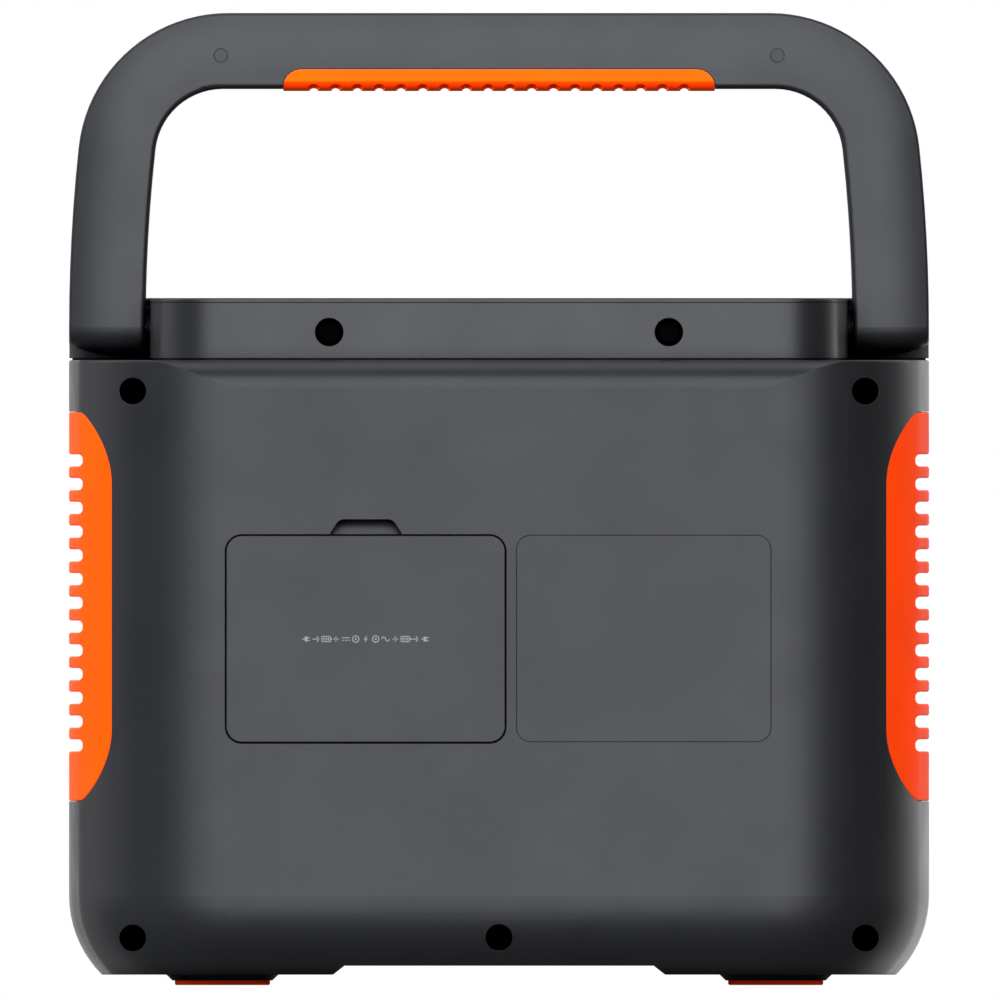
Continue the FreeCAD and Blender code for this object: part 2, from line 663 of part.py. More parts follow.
def grip_block(margin):
    """Rounded bar under the crossbar, larger than the grip by a margin."""
    half = GRIP_HALF_LENGTH + margin
    top = GRIP_TOP_Z + margin
    block = box((-half, half), (-BIG, BIG), (GRIP_BOTTOM_Z - 10, top))
    ends = [edge for edge in block.Edges
            if abs(edge.tangentAt(edge.FirstParameter).dot(Y_AXIS)) > 0.9
            and edge.BoundBox.ZMin > top - 0.1]
    return block.makeFillet(GRIP_END_RADIUS + margin, ends)


def handle_covers():
    """Rear and front halves of the hollow handle."""
    room_start = GRIP_OPENING.half_width + HANDLE_WALL
    room_width = BODY.half_width - HOLLOW_INSET - room_start
    room = rod(V(room_start, 0, PIVOT_Z), X_AXIS, room_width, EYE_RADIUS + EYE_ROOM)
    arch = band(HOLLOW_INSET, HANDLE_WALL, HOLLOW_HALF_THICKNESS)
    cavity = arch.cut(grip_block(GRIP_SEAM + 2)).fuse([room, mirrored(room)])
    middle = box((-BIG, BIG), (-GRIP_SEAM_FLOOR_Y, GRIP_SEAM_FLOOR_Y), (0, 2 * BIG))
    seam = grip_block(GRIP_SEAM).cut(middle)
    shell = handle_block().cut([cavity, seam, grip_block(GRIP_FIT)])
    low_y, high_y = HANDLE_BOSS_Y
    bosses = []
    holes = [rod(V(-room_start - 1, 0, PIVOT_Z), X_AXIS, 2 * room_start + 2, PIN_RADIUS + 0.4)]
    for x in (-PLUG_X, PLUG_X):
        for start_y in (low_y, -high_y):
            bosses.append(rod(V(x, start_y, PLUG_Z), Y_AXIS, high_y - low_y, HANDLE_BOSS_RADIUS))
        holes.append(rod(V(x, HANDLE_SCREW_SEAT_Y, PLUG_Z), Y_AXIS, 20.0, PLUG_RADIUS))
        holes.append(rod(V(x, 0, PLUG_Z), Y_AXIS, high_y, HANDLE_SCREW_RADIUS + 0.25))
        holes.append(rod(V(x, -high_y, PLUG_Z), Y_AXIS, high_y, HANDLE_SCREW_RADIUS + 0.05))
    shell = shell.multiFuse(bosses).cut(holes)
    rear = shell.common(box((-BIG, BIG), (HANDLE_SPLIT, BIG), (0, 2 * BIG)))
    front = shell.common(box((-BIG, BIG), (-BIG, -HANDLE_SPLIT), (0, 2 * BIG)))
    return rear, front


def handle_core():
    """Bent metal bar inside the handle, with an eye at each end."""
    inner_inset = BODY.half_depth - CORE_INSET - CORE_DEPTH - GRIP_OPENING.half_depth
    arch = band(CORE_INSET, inner_inset, CORE_HALF_THICKNESS)
    eye = rod(V(HINGE_START_X, 0, PIVOT_Z), X_AXIS, HINGE_LENGTH, EYE_RADIUS)
    bar = arch.fuse([eye, mirrored(eye)]).removeSplitter()
    bores = [rod(V(-BIG, 0, PIVOT_Z), X_AXIS, 2 * BIG, BUSH_RADIUS)]
    for x in (-PLUG_X, PLUG_X):
        bores.append(rod(V(x, -10, PLUG_Z), Y_AXIS, 20, HANDLE_SCREW_RADIUS + 0.35))
    return bar.cut(bores)


def handle_grip():
    """Soft grip with a row of finger scallops underneath."""
    half = HANDLE_HALF_THICKNESS
    block = box((-BIG, BIG), (-half, half), (GRIP_BOTTOM_Z, GRIP_TOP_Z + 1)).common(grip_block(0.0))
    low_edges = edges_where(block, lambda b: b.ZMax < GRIP_BOTTOM_Z + 0.01 and b.XLength > 50)
    block = block.makeFillet(GRIP_EDGE_ROUND, low_edges)
    cutters = []
    for index in range(SCALLOPS):
        x = (index - (SCALLOPS - 1) / 2) * SCALLOP_PITCH
        cutters.append(rod(V(x, -BIG, GRIP_BOTTOM_Z - 0.9), Y_AXIS, 2 * BIG, SCALLOP_RADIUS))
        for side in (-1, 1):
            centre = V(x, side * (half - 1.2), GRIP_BOTTOM_Z + 0.4)
            cutters.append(Part.makeSphere(SCALLOP_BALL_RADIUS, centre))
    return block.cut(cutters)


def handle_plugs():
    """Round covers over the two handle screws."""
    length = PLUG_Y[1] - PLUG_Y[0]
    plug = rod(V(PLUG_X, PLUG_Y[0], PLUG_Z), Y_AXIS, length, PLUG_RADIUS - PLUG_CLEARANCE)
    return both_sides(plug)


def handle_screws():
    """Screws that clamp the two handle covers on the metal bar."""
    head = rod(V(PLUG_X, HANDLE_SCREW_SEAT_Y, PLUG_Z), Y_AXIS, 2.4, 2.7)
    socket = rod(V(PLUG_X, HANDLE_SCREW_SEAT_Y + 1, PLUG_Z), Y_AXIS, 2.0, 1.2)
    shank = rod(V(PLUG_X, -8.5, PLUG_Z), Y_AXIS, 15.0, HANDLE_SCREW_RADIUS)
    return both_sides(head.fuse(shank).cut(socket))


def hinge_bushes():
    """Plain bushes pressed into the eyes of the metal bar."""
    start = V(HINGE_START_X, 0, PIVOT_Z)
    bush = tube(start, X_AXIS, HINGE_LENGTH, BUSH_RADIUS, PIN_RADIUS + PIN_CLEARANCE)
    return both_sides(bush)


def hinge_pins():
    """Fixed pins the handle turns on."""
    pin = rod(V(128.0, 0, PIVOT_Z), X_AXIS, 41.0, PIN_RADIUS)
    return both_sides(pin)


def hinge_washers():
    """Spacers between the deck and the handle arms."""
    washer = tube(V(DECK.half_width + 0.05, 0, PIVOT_Z), X_AXIS, 1.5, 8.5, PIN_RADIUS)
    return both_sides(washer)


def hinge_bracket():
    """Steel angle inside the deck that carries the right-hand pin."""
    base = box((104.0, 139.5), (-42.0, 46.0), (LEDGE_Z, LEDGE_Z + 3.0))
    upright = box((137.0, 141.0), (-12.0, 12.0), (LEDGE_Z, PIVOT_Z + 8.3))
    arm = box((64.0, 108.0), (42.0, 46.0), (LEDGE_Z + 3.0, DECK_SCREW_Z + 7.0))
    tail = box((64.0, 108.0), (42.0, 60.0), (LEDGE_Z, LEDGE_Z + 3.0))
    boss = rod(V(DECK_SCREW_X, 46.0, DECK_SCREW_Z), Y_AXIS, 15.9, 5.0)
    bracket = fuse_all([base, upright, arm, tail, boss])
    holes = [rod(V(100, 0, PIVOT_Z), X_AXIS, 80.0, PIN_RADIUS)]
    holes.append(rod(V(DECK_SCREW_X, 41.0, DECK_SCREW_Z), Y_AXIS, 30.0, 1.6))
    return bracket.cut(holes)


# ---------------------------------------------------------------- side grilles
def groove_cutter():
    """One groove along Y with a rounded floor, for the right-hand side."""
    floor_x = BODY.half_width - GROOVE_DEPTH
    half = GROOVE_HEIGHT / 2
    return rounded_box((floor_x, BODY.half_width + 20), (-BIG, BIG), (-half, half),
                       GROOVE_ROUND, Y_AXIS)


def on_body_side(edge):
    """Whether an edge lies on the bowed side or round corner of the body surface."""
    side_x = BODY.half_width - BODY.side_radius
    corner_x, corner_y = outline_corner(BODY)
    for share in (0.0, 0.5, 1.0):
        span = edge.LastParameter - edge.FirstParameter
        point = edge.valueAt(edge.FirstParameter + share * span)
        if abs(point.y) <= side_tangent_height(BODY):
            distance = math.hypot(point.x - side_x, point.y) - BODY.side_radius
        else:
            distance = math.hypot(point.x - corner_x, abs(point.y) - corner_y) - BODY.corner_radius
        if abs(distance) > 0.02:
            return False
    return True


def side_grille():
    """Ribbed side panel with vent slots in the groove floors, for the right-hand side."""
    panel = case_block(0.0).cut(case_block(GRILLE_THICKNESS)).common(grille_window(0.0))
    seams = GRILLE_Z[1] - GRILLE_Z[0] - 1
    rim = [edge for edge in panel.Edges if on_body_side(edge)
           and not (edge.BoundBox.ZLength > seams and edge.BoundBox.YLength < 0.01)]
    panel = panel.makeFillet(GRILLE_EDGE_ROUND, rim)
    grooves = []
    slots = []
    reach = VENT_LENGTH / 2
    for index in range(GROOVES):
        z = GROOVE_TOP_Z - index * GROOVE_PITCH
        groove = groove_cutter()
        groove.translate(V(0, 0, z))
        grooves.append(groove)
        for y in VENT_CENTRES_Y:
            slots.append(box((150.0, BODY.half_width), (y - reach, y + reach),
                             (z - VENT_HEIGHT / 2, z + VENT_HEIGHT / 2)))
    panel = panel.cut(grooves)
    groove_band = (GROOVE_TOP_Z - GROOVES * GROOVE_PITCH, GROOVE_TOP_Z + GROOVE_HEIGHT)
    lips = [edge for edge in panel.Edges if on_body_side(edge)
            and edge.BoundBox.ZMin > groove_band[0] and edge.BoundBox.ZMax < groove_band[1]
            and edge.BoundBox.ZLength < GROOVE_HEIGHT]
    panel = panel.makeFillet(GROOVE_LIP_ROUND, lips)
    flange = case_block(WALL).cut(case_block(WALL + FLANGE_THICKNESS))
    flange = flange.common(grille_window(FLANGE_WIDTH)).cut(grille_window(-FLANGE_WIDTH))
    panel = panel.fuse(flange)
    return panel.cut(slots + towers(TOWER_RADIUS + 0.3, 0.0, BIG))


# ---------------------------------------------------------------- rear door and input bay
def door_pin_rod(radius):
    """Round bar along the door's hinge axis."""
    low = DOOR_X[0] - 3.0
    return rod(V(low, DOOR_HINGE_Y, DOOR_HINGE_Z), X_AXIS, DOOR_X[1] - low + 2.5, radius)


def port_cover():
    """Door over the inputs, with its hinge barrel just above the lower corners."""
    door = door_block(DOOR_GAP, (REAR_INNER_Y, BODY.half_depth))
    left = DOOR_X[0] + DOOR_GAP
    width = DOOR_X[1] - DOOR_X[0] - 2 * DOOR_GAP
    barrel = rod(V(left, DOOR_HINGE_Y, DOOR_HINGE_Z), X_AXIS, width, DOOR_BARREL_RADIUS)
    catch_x = (NOTCH_X[0] + 6, NOTCH_X[1] - 6)
    top_z = DOOR_Z[1] - DOOR_GAP
    catch = box(catch_x, (REAR_INNER_Y - 3, REAR_INNER_Y), (top_z - 5, top_z - 2))
    door = fuse_all([door, barrel, catch])
    face_edges = edges_where(door, lambda b: b.YMin > BODY.half_depth - 0.01)
    door = door.makeFillet(0.4, face_edges)
    return door.cut(door_pin_rod(DOOR_PIN_RADIUS + PIN_CLEARANCE))


def ac_inlet_body():
    """Outer form of the mains inlet."""
    return rounded_box((AC_INLET_X - 14, AC_INLET_X + 14), (78.0, 102.0),
                       (INPUT_Z - 10.5, INPUT_Z + 10.5), 2.0, Y_AXIS)


def expansion_body():
    """Outer form of the expansion connector."""
    return rounded_box((EXPANSION_X - 14, EXPANSION_X + 14), (80.0, 103.0),
                       (INPUT_Z - 9, INPUT_Z + 9), 4.0, Y_AXIS)


def jack_bodies():
    """Outer forms of the two round DC jacks."""
    return [rod(V(x, 84.0, INPUT_Z), Y_AXIS, 17.0, 6.5) for x in JACK_X]


def breaker_bore():
    """Hole in the bay wall for the breaker's reset button."""
    return rod(V(BREAKER_X, 90.0, INPUT_Z), Y_AXIS, 20.0, BREAKER_RADIUS + BUTTON_GAP)


def input_bay():
    """Tub behind the door that carries the input connectors."""
    wall = 2.0
    outer = box(BAY_X, (BAY_BACK_Y, REAR_INNER_Y), BAY_Z)
    inner = box((BAY_X[0] + wall, BAY_X[1] - wall), (BAY_BACK_Y + wall, BIG),
                (BAY_Z[0] + wall, BAY_Z[1] - wall))
    tub = outer.cut(inner).common(case_block(WALL))
    tub = tub.cut([ac_inlet_body(), expansion_body(), breaker_bore()] + jack_bodies())
    return tub.cut(towers(TOWER_RADIUS + 0.2, 0.0, BIG))


def ac_inlet():
    """Mains inlet with three blades in a recess."""
    cavity = rounded_box((AC_INLET_X - 12, AC_INLET_X + 12), (84.0, 110.0),
                         (INPUT_Z - 8, INPUT_Z + 8), 3.0, Y_AXIS)
    shell = ac_inlet_body().cut(cavity)
    blades = []
    for dx, dz in ((-7.0, -2.0), (0.0, 2.0), (7.0, -2.0)):
        blades.append(box((AC_INLET_X + dx - 1, AC_INLET_X + dx + 1), (83.0, 98.0),
                          (INPUT_Z + dz - 2.5, INPUT_Z + dz + 2.5)))
    return shell.multiFuse(blades)


def dc_input_jacks():
    """Two round jacks with centre pins."""
    jacks = []
    for body, x in zip(jack_bodies(), JACK_X):
        bore = rod(V(x, 88.0, INPUT_Z), Y_AXIS, 20.0, 4.0)
        pin = rod(V(x, 87.0, INPUT_Z), Y_AXIS, 11.0, 0.8)
        jacks.append(body.cut(bore).fuse(pin))
    return Part.makeCompound(jacks)


def expansion_connector():
    """Two-row socket for an add-on battery."""
    body = expansion_body()
    for dx in (-6.5, 6.5):
        body = body.cut(rod(V(EXPANSION_X + dx, 88.0, INPUT_Z), Y_AXIS, 20.0, 4.0))
        body = body.fuse(rod(V(EXPANSION_X + dx, 87.0, INPUT_Z), Y_AXIS, 12.0, 1.8))
    return body


def breaker_body():
    """Overload breaker fixed behind the bay wall."""
    body = rounded_box((BREAKER_X - 6, BREAKER_X + 6), (78.0, BAY_BACK_Y),
                       (INPUT_Z - 8, INPUT_Z + 8), 1.0, Y_AXIS)
    return body.cut(rod(V(BREAKER_X, 88.0, INPUT_Z), Y_AXIS, 20.0, BREAKER_RADIUS + BUTTON_GAP))


def breaker_button():
    """Reset button that pushes in against the breaker."""
    cap = rod(V(BREAKER_X, 90.2, INPUT_Z), Y_AXIS, 12.0, BREAKER_RADIUS)
    return cap.makeFillet(0.6, edges_where(cap, lambda b: b.YMin > 102.1))


def rating_label():
    """Blank plate set in the shallow recess beside the door."""
    gap = 0.25
    back = BODY.half_depth - LABEL_RECESS
    return rounded_box((LABEL_X[0] + gap, LABEL_X[1] - gap), (back, back + 0.3),
                       (LABEL_Z[0] + gap, LABEL_Z[1] - gap), LABEL_CORNER - gap, Y_AXIS)


# ---------------------------------------------------------------- fascia and controls
def rounded_window(x_range, z_range, radius):
    """Rounded block along Y used for openings in the fascia."""
    return rounded_box(x_range, (-BIG, 0), z_range, radius, Y_AXIS)


def outlet_outline(x, gap, y_range):
    """Rounded square of one mains outlet."""
    half = OUTLET_SIZE / 2 + gap
    return rounded_box((x - half, x + half), y_range, (OUTLET_Z - half, OUTLET_Z + half),
                       7.0 + gap, Y_AXIS)


def usb_window(x, width, height, radius, y_range):
    """Rounded slot of one USB port."""
    return rounded_box((x - width / 2, x + width / 2), y_range,
                       (USB_Z - height / 2, USB_Z + height / 2), radius, Y_AXIS)


def front_panel():
    """Control fascia set back behind the front opening."""
    margin = FASCIA_LIP
    plate = rounded_box(
        (FASCIA_X[0] - margin, FASCIA_X[1] + margin), (FRONT_INNER_Y, FASCIA_BACK_Y),
        (FASCIA_Z[0] - margin, FASCIA_Z[1] + margin), FASCIA_CORNER + margin, Y_AXIS)
    plate = plate.common(case_block(WALL))
    holes = [rounded_window(DISPLAY_X, DISPLAY_Z, 5.0), rounded_window(LAMP_X, LAMP_Z, 7.0)]
    for x, z, radius in BUTTONS.values():
        holes.append(rod(V(x, -BIG, z), Y_AXIS, BIG, radius + BUTTON_GAP))
    for x in OUTLET_X:
        holes.append(outlet_outline(x, 0.0, (-BIG, 0)))
    for x in USB_C_X:
        holes.append(usb_window(x, 11.0, 5.4, 2.6, (-BIG, 0)))
    for x in USB_A_X:
        holes.append(usb_window(x, 15.0, 7.6, 1.0, (-BIG, 0)))
    holes.append(rod(V(SOCKET_X, -BIG, SOCKET_Z), Y_AXIS, BIG, SOCKET_RADIUS))
    return plate.cut(holes)


def display_lens():
    """Clear window over the display."""
    return rounded_box((DISPLAY_X[0] + 0.2, DISPLAY_X[1] - 0.2), (FRONT_INNER_Y - 0.3, FASCIA_BACK_Y - 1),
                       (DISPLAY_Z[0] + 0.2, DISPLAY_Z[1] - 0.2), 4.8, Y_AXIS)


def display_module():
    """Display with its board, behind the window."""
    glass = box((DISPLAY_X[0] + 3, DISPLAY_X[1] - 3), (FASCIA_BACK_Y - 1, FASCIA_BACK_Y),
                (DISPLAY_Z[0] + 3, DISPLAY_Z[1] - 3))
    board = box((DISPLAY_X[0] - 3, DISPLAY_X[1] + 2), (FASCIA_BACK_Y, FASCIA_BACK_Y + 5),
                (DISPLAY_Z[0] - 2, DISPLAY_Z[1] + 4))
    return glass.fuse(board)


def lamp_lens():
    """Diffuser of the work lamp."""
    lens = rounded_box((LAMP_X[0] + 0.2, LAMP_X[1] - 0.2), (FRONT_INNER_Y - 1.0, FASCIA_BACK_Y),
                       (LAMP_Z[0] + 0.2, LAMP_Z[1] - 0.2), 6.8, Y_AXIS)
    return lens.makeFillet(0.7, edges_where(lens, lambda b: b.YMax < FRONT_INNER_Y - 0.99))


def push_button(name):
    """Round key with a skirt that keeps it behind the fascia."""
    x, z, radius = BUTTONS[name]
    front_y = FRONT_INNER_Y - BUTTON_PROUD
    skirt_y = FASCIA_BACK_Y + 0.2
    cap = rod(V(x, front_y, z), Y_AXIS, skirt_y + 0.1 - front_y, radius)
    front = edges_where(cap, lambda b: b.YMax < front_y + 0.01)
    cap = cap.makeFillet(BUTTON_EDGE_ROUND, front)
    skirt = rod(V(x, skirt_y, z), Y_AXIS, SKIRT_THICKNESS, radius + SKIRT_WIDTH)
    stem = rod(V(x, skirt_y + 1.1, z), Y_AXIS, 1.0, STEM_RADIUS)
    return fuse_all([cap, skirt, stem])


def switch_board():
    """Boards with a tactile switch behind each key, and the lamp's light strip."""
    board_y = (FASCIA_BACK_Y + 5.5, FASCIA_BACK_Y + 7.1)
    left = box((-100.0, -66.0), board_y, (84.0, 222.0))
    right = box((60.0, 100.0), board_y, (184.0, 228.0))
    boards = [left, right]
    for x, z, _ in BUTTONS.values():
        boards.append(box((x - 3, x + 3), (FASCIA_BACK_Y + 3.6, FASCIA_BACK_Y + 5.5), (z - 3, z + 3)))
    boards.append(box((LAMP_X[0] + 4, LAMP_X[1] - 4), (FASCIA_BACK_Y + 2, FASCIA_BACK_Y + 5.5),
                      (LAMP_Z[0] + 5, LAMP_Z[1] - 5)))
    left_parts = fuse_all([boards[0]] + [b for b in boards[2:] if b.BoundBox.XMax < 0])
    right_parts = fuse_all([boards[1]] + [b for b in boards[2:] if b.BoundBox.XMin > 0])
    return Part.makeCompound([left_parts, right_parts])


def ac_outlet(x):
    """Mains outlet with two blade slots and a round earth hole."""
    face_y = FRONT_INNER_Y - 0.8
    body = outlet_outline(x, 0.0, (face_y, -98.0))
    body = body.makeFillet(0.5, edges_where(body, lambda b: b.YMax < face_y + 0.01))
    rear = box((x - 17, x + 17), (-98.0, -96.0), (OUTLET_Z - 15, OUTLET_Z + 15))
    body = body.fuse(rear)
    pocket = rod(V(x, face_y - 1, OUTLET_Z), Y_AXIS, 3.0, 15.5)
    slots = []
    for dx, height in ((-6.35, 8.2), (6.35, 6.8)):
        slots.append(box((x + dx - 1.0, x + dx + 1.0), (face_y, face_y + 18),
                         (OUTLET_Z + 3.0 - height / 2, OUTLET_Z + 3.0 + height / 2)))
    slots.append(rod(V(x, face_y, OUTLET_Z - 8.5), Y_AXIS, 18.0, 2.6))
    return body.cut([pocket] + slots)


def usb_ports(places, width, height, radius, tongue_height):
    """Metal USB shells with their contact tongues."""
    ports = []
    for x in places:
        outer = usb_window(x, width, height, radius, (FRONT_INNER_Y + 0.4, -112.0))
        inner = usb_window(x, width - 1.4, height - 1.4, max(radius - 0.7, 0.4),
                           (FRONT_INNER_Y - 1, -114.0))
        tongue = box((x - width / 2 + 2, x + width / 2 - 2), (-123.0, -113.5),
                     (USB_Z - tongue_height / 2, USB_Z + tongue_height / 2))
        ports.append(outer.cut(inner).fuse(tongue))
    return Part.makeCompound(ports)


def usb_board():
    """Board behind the USB ports with its charging chips."""
    board = box((-58.0, 30.0), (-112.0, -110.4), (134.5, 166.0))
    chips = [box((x - 5, x + 5), (-110.4, -108.0), (152.0, 162.0)) for x in USB_C_X + USB_A_X]
    return fuse_all([board] + chips)


def car_socket_barrel():
    """Twelve-volt socket with its centre contact."""
    front_y = FRONT_INNER_Y - 0.6
    barrel = rod(V(SOCKET_X, front_y, SOCKET_Z), Y_AXIS, -92.0 - front_y, SOCKET_RADIUS)
    bore = rod(V(SOCKET_X, front_y - 1, SOCKET_Z), Y_AXIS, -95.0 - front_y, 10.6)
    contact = rod(V(SOCKET_X, -97.0, SOCKET_Z), Y_AXIS, 3.5, 3.0)
    return barrel.cut(bore).fuse(contact)


def car_socket_cap():
    """Hinged dust cap over the twelve-volt socket."""
    front = -CAP_Y - 2.2
    disc = rod(V(SOCKET_X, front, SOCKET_Z), Y_AXIS, 2.2, 14.0)
    disc = disc.makeFillet(0.8, edges_where(disc, lambda b: b.YMax < front + 0.01))
    strap = box((SOCKET_X - 5, SOCKET_X + 5), (front + 0.6, -CAP_Y), (SOCKET_Z + 10, CAP_HINGE_Z))
    barrel = rod(V(SOCKET_X - 5, -CAP_Y - 0.8, CAP_HINGE_Z), X_AXIS, 10.0, 1.4)
    tab = rounded_box((SOCKET_X - 4, SOCKET_X + 4), (front + 0.4, -CAP_Y),
                      (SOCKET_Z - 17, SOCKET_Z - 10), 1.6, Y_AXIS)
    cap = fuse_all([disc, strap, barrel, tab])
    return cap.cut(rod(V(SOCKET_X - 9, -CAP_Y - 0.8, CAP_HINGE_Z), X_AXIS, 18.0, 0.65))


def cap_hinge():
    """Two small lugs on the fascia with the cap's hinge pin."""
    pin = rod(V(SOCKET_X - 8, -CAP_Y - 0.8, CAP_HINGE_Z), X_AXIS, 16.0, 0.6)
    lugs = []
    for low in (-8.0, 5.3):
        lugs.append(box((SOCKET_X + low, SOCKET_X + low + 2.7), (-CAP_Y - 1.9, FRONT_INNER_Y),
                        (CAP_HINGE_Z - 1.5, CAP_HINGE_Z + 1.5)))
    return fuse_all([pin] + lugs)


# ---------------------------------------------------------------- battery and electronics
def cell_origin(column, row):
    """Low corner of one battery cell."""
    pitch_x = CELL[0] + CELL_GAP
    pitch_y = CELL[1] + CELL_GAP
    x = (column - CELL_COLUMNS / 2) * pitch_x + CELL_GAP / 2
    y = (row - CELL_ROWS / 2) * pitch_y + CELL_GAP / 2
    return x, y


def cell_grid():
    """All column and row numbers of the battery."""
    return [(column, row) for column in range(CELL_COLUMNS) for row in range(CELL_ROWS)]


def battery_cells():
    """Prismatic cells with two terminals each."""
    cells = []
    for column, row in cell_grid():
        x, y = cell_origin(column, row)
        can = box((x, x + CELL[0]), (y, y + CELL[1]), (CELL_BASE_Z, CELL_BASE_Z + CELL[2]))
        posts = []
        for dx in (25.0, CELL[0] - 25.0):
            posts.append(rod(V(x + dx, y + CELL[1] / 2, CELL_BASE_Z + CELL[2]), Z_AXIS, 2.5, 5.0))
        cells.append(can.multiFuse(posts))
    return Part.makeCompound(cells)


def cell_busbars():
    """Plates that join neighbouring cell terminals."""
    top = CELL_BASE_Z + CELL[2] + 2.5
    bars = []
    for column in range(CELL_COLUMNS):
        for row in range(0, CELL_ROWS, 2):
            x, y = cell_origin(column, row)
            for dx in (25.0, CELL[0] - 25.0):
                bars.append(box((x + dx - 6, x + dx + 6), (y + 3, y + 2 * CELL[1] - 2), (top, top + 1.5)))
    return Part.makeCompound(bars)


def battery_tray():
    """Open tray that holds the cells above the screw towers."""
    half_x = CELL_COLUMNS * (CELL[0] + CELL_GAP) / 2 + 0.5
    half_y = CELL_ROWS * (CELL[1] + CELL_GAP) / 2 + 0.5
    outer = box((-half_x - 2, half_x + 2), (-half_y - 2, half_y + 2), (CELL_BASE_Z - 2, CELL_BASE_Z + 34))
    inner = box((-half_x, half_x), (-half_y, half_y), (CELL_BASE_Z, CELL_BASE_Z + 60))
    tray = outer.cut(inner)
    legs = []
    leg_z = (BASE_Z + WALL + 0.6, CELL_BASE_Z - 1)
    for sign_x in (-1, 1):
        for sign_y in (-1, 1):
            low_x = sign_x * 118.0 - 6
            low_y = sign_y * 72.0 - 6
            legs.append(box((low_x, low_x + 12), (low_y, low_y + 12), leg_z))
    return tray.multiFuse(legs)


def bms_board():
    """Battery management board above the cells."""
    board = box((-90.0, 90.0), (-30.0, 30.0), (136.0, 137.6))
    parts = [box((x, x + 12), (-20.0, 20.0), (137.6, 140.6)) for x in range(-80, 80, 20)]
    return fuse_all([board] + parts)


def mounting_plate():
    """Aluminium plate that carries the power electronics."""
    plate = box((-130.0, 130.0), (-86.0, 86.0), (PLATE_Z, PLATE_Z + 3))
    legs = []
    for x in (-130.0, 122.0):
        for y in (-84.0, 76.0):
            legs.append(box((x, x + 8), (y, y + 8), (CELL_BASE_Z + CELL[2], PLATE_Z + 1)))
    window = rod(V(SOCKET_X, -BIG, SOCKET_Z), Y_AXIS, BIG - 90, SOCKET_RADIUS + 1)
    return plate.multiFuse(legs).cut(window)


def inverter_board():
    """Main power board with its capacitors and standoffs."""
    board = box((-122.0, 122.0), (-78.0, 62.0), (BOARD_Z, BOARD_Z + 2))
    parts = []
    for index in range(5):
        parts.append(rod(V(-104.0, -56.0 + 24 * index, BOARD_Z + 2), Z_AXIS, 34.0, 10.0))
    for x in (-112.0, 112.0):
        for y in (-68.0, 52.0):
            parts.append(rod(V(x, y, PLATE_Z + 3), Z_AXIS, BOARD_Z - PLATE_Z - 3, 4.0))
    return fuse_all([board] + parts)


def heatsink():
    """Finned aluminium block across the board."""
    low_x = -80.0
    base = box((low_x, low_x + 90), (-70.0, 50.0), (BOARD_Z + 2, BOARD_Z + 7))
    fins = [box((low_x + 9.6 * i, low_x + 9.6 * i + 2.4), (-70.0, 50.0), (BOARD_Z + 6, BOARD_Z + 45))
            for i in range(10)]
    return fuse_all([base] + fins)


def transformer():
    """Wound transformer with a square core."""
    core = box((30.0, 92.0), (-44.0, 16.0), (BOARD_Z + 2, BOARD_Z + 50))
    core = core.cut([box((40.0, 82.0), (-60.0, 40.0), (BOARD_Z + 12, BOARD_Z + 40))])
    winding = rounded_box((42.0, 80.0), (-52.0, 24.0), (BOARD_Z + 12, BOARD_Z + 40), 6.0, Z_AXIS)
    return fuse_all([core, winding])


def battery_cables():
    """Pair of thick cables from the cells up to the power board."""
    cables = []
    for y in (-12.0, 12.0):
        start = V(134.0, y, CELL_BASE_Z + CELL[2] + 0.5)
        points = [start, start + V(0, 0, 16), start + V(-3, 0, 25), start + V(-14, 0, 33)]
        path = Part.BSplineCurve()
        path.interpolate(points)
        spine = Part.Wire(path.toShape())
        profile = Part.Wire(Part.Circle(start, Z_AXIS, 2.6).toShape())
        cables.append(Part.Solid(spine.makePipeShell([profile], True, False)))
    return Part.makeCompound(cables)


def fan_frames():
    """Two square fan frames with a hub on three struts."""
    frames = []
    half = FAN_SIZE / 2
    for y in FAN_CENTRES_Y:
        frame = rounded_box(FAN_X, (y - half, y + half), (FAN_CENTRE_Z - half, FAN_CENTRE_Z + half),
                            5.0, X_AXIS)
        frame = frame.cut(rod(V(FAN_X[0] - 1, y, FAN_CENTRE_Z), X_AXIS, 40.0, FAN_DUCT_RADIUS))
        hub = rod(V(FAN_X[0], y, FAN_CENTRE_Z), X_AXIS, 4.0, 15.0)
        struts = []
        for index in range(3):
            strut = box((FAN_X[0], FAN_X[0] + 3), (y - 2, y + 2), (FAN_CENTRE_Z, FAN_CENTRE_Z + half - 1))
            strut.rotate(V(0, y, FAN_CENTRE_Z), X_AXIS, 120 * index + 60)
            struts.append(strut)
        spindle = rod(V(FAN_X[0] + 3.5, y, FAN_CENTRE_Z), X_AXIS, 12.0, 1.5)
        frames.append(fuse_all([frame, hub, spindle] + struts))
    return Part.makeCompound(frames)


def fan_rotor(y):
    """Hub with swept blades, turning on the frame's spindle."""
    hub_start = FAN_X[0] + 4.6
    hub = rod(V(hub_start, y, FAN_CENTRE_Z), X_AXIS, 16.0, 15.0)
    blades = []
    for index in range(7):
        blade = box((-1.0, 1.0), (-7.0, 7.0), (13.0, FAN_ROTOR_RADIUS))
        blade.rotate(V(0, 0, 0), Z_AXIS, 40)
        blade.translate(V(hub_start + 8.0, 0, 0))
        blade.rotate(V(0, 0, 0), X_AXIS, 360 / 7 * index)
        blade.translate(V(0, y, FAN_CENTRE_Z))
        blades.append(blade)
    disc = rod(V(hub_start, y, FAN_CENTRE_Z), X_AXIS, 16.0, FAN_ROTOR_RADIUS)
    rotor = fuse_all([hub] + [blade.common(disc) for blade in blades])
    return rotor.cut(rod(V(hub_start - 1, y, FAN_CENTRE_Z), X_AXIS, 13.0, 1.5 + PIN_CLEARANCE))


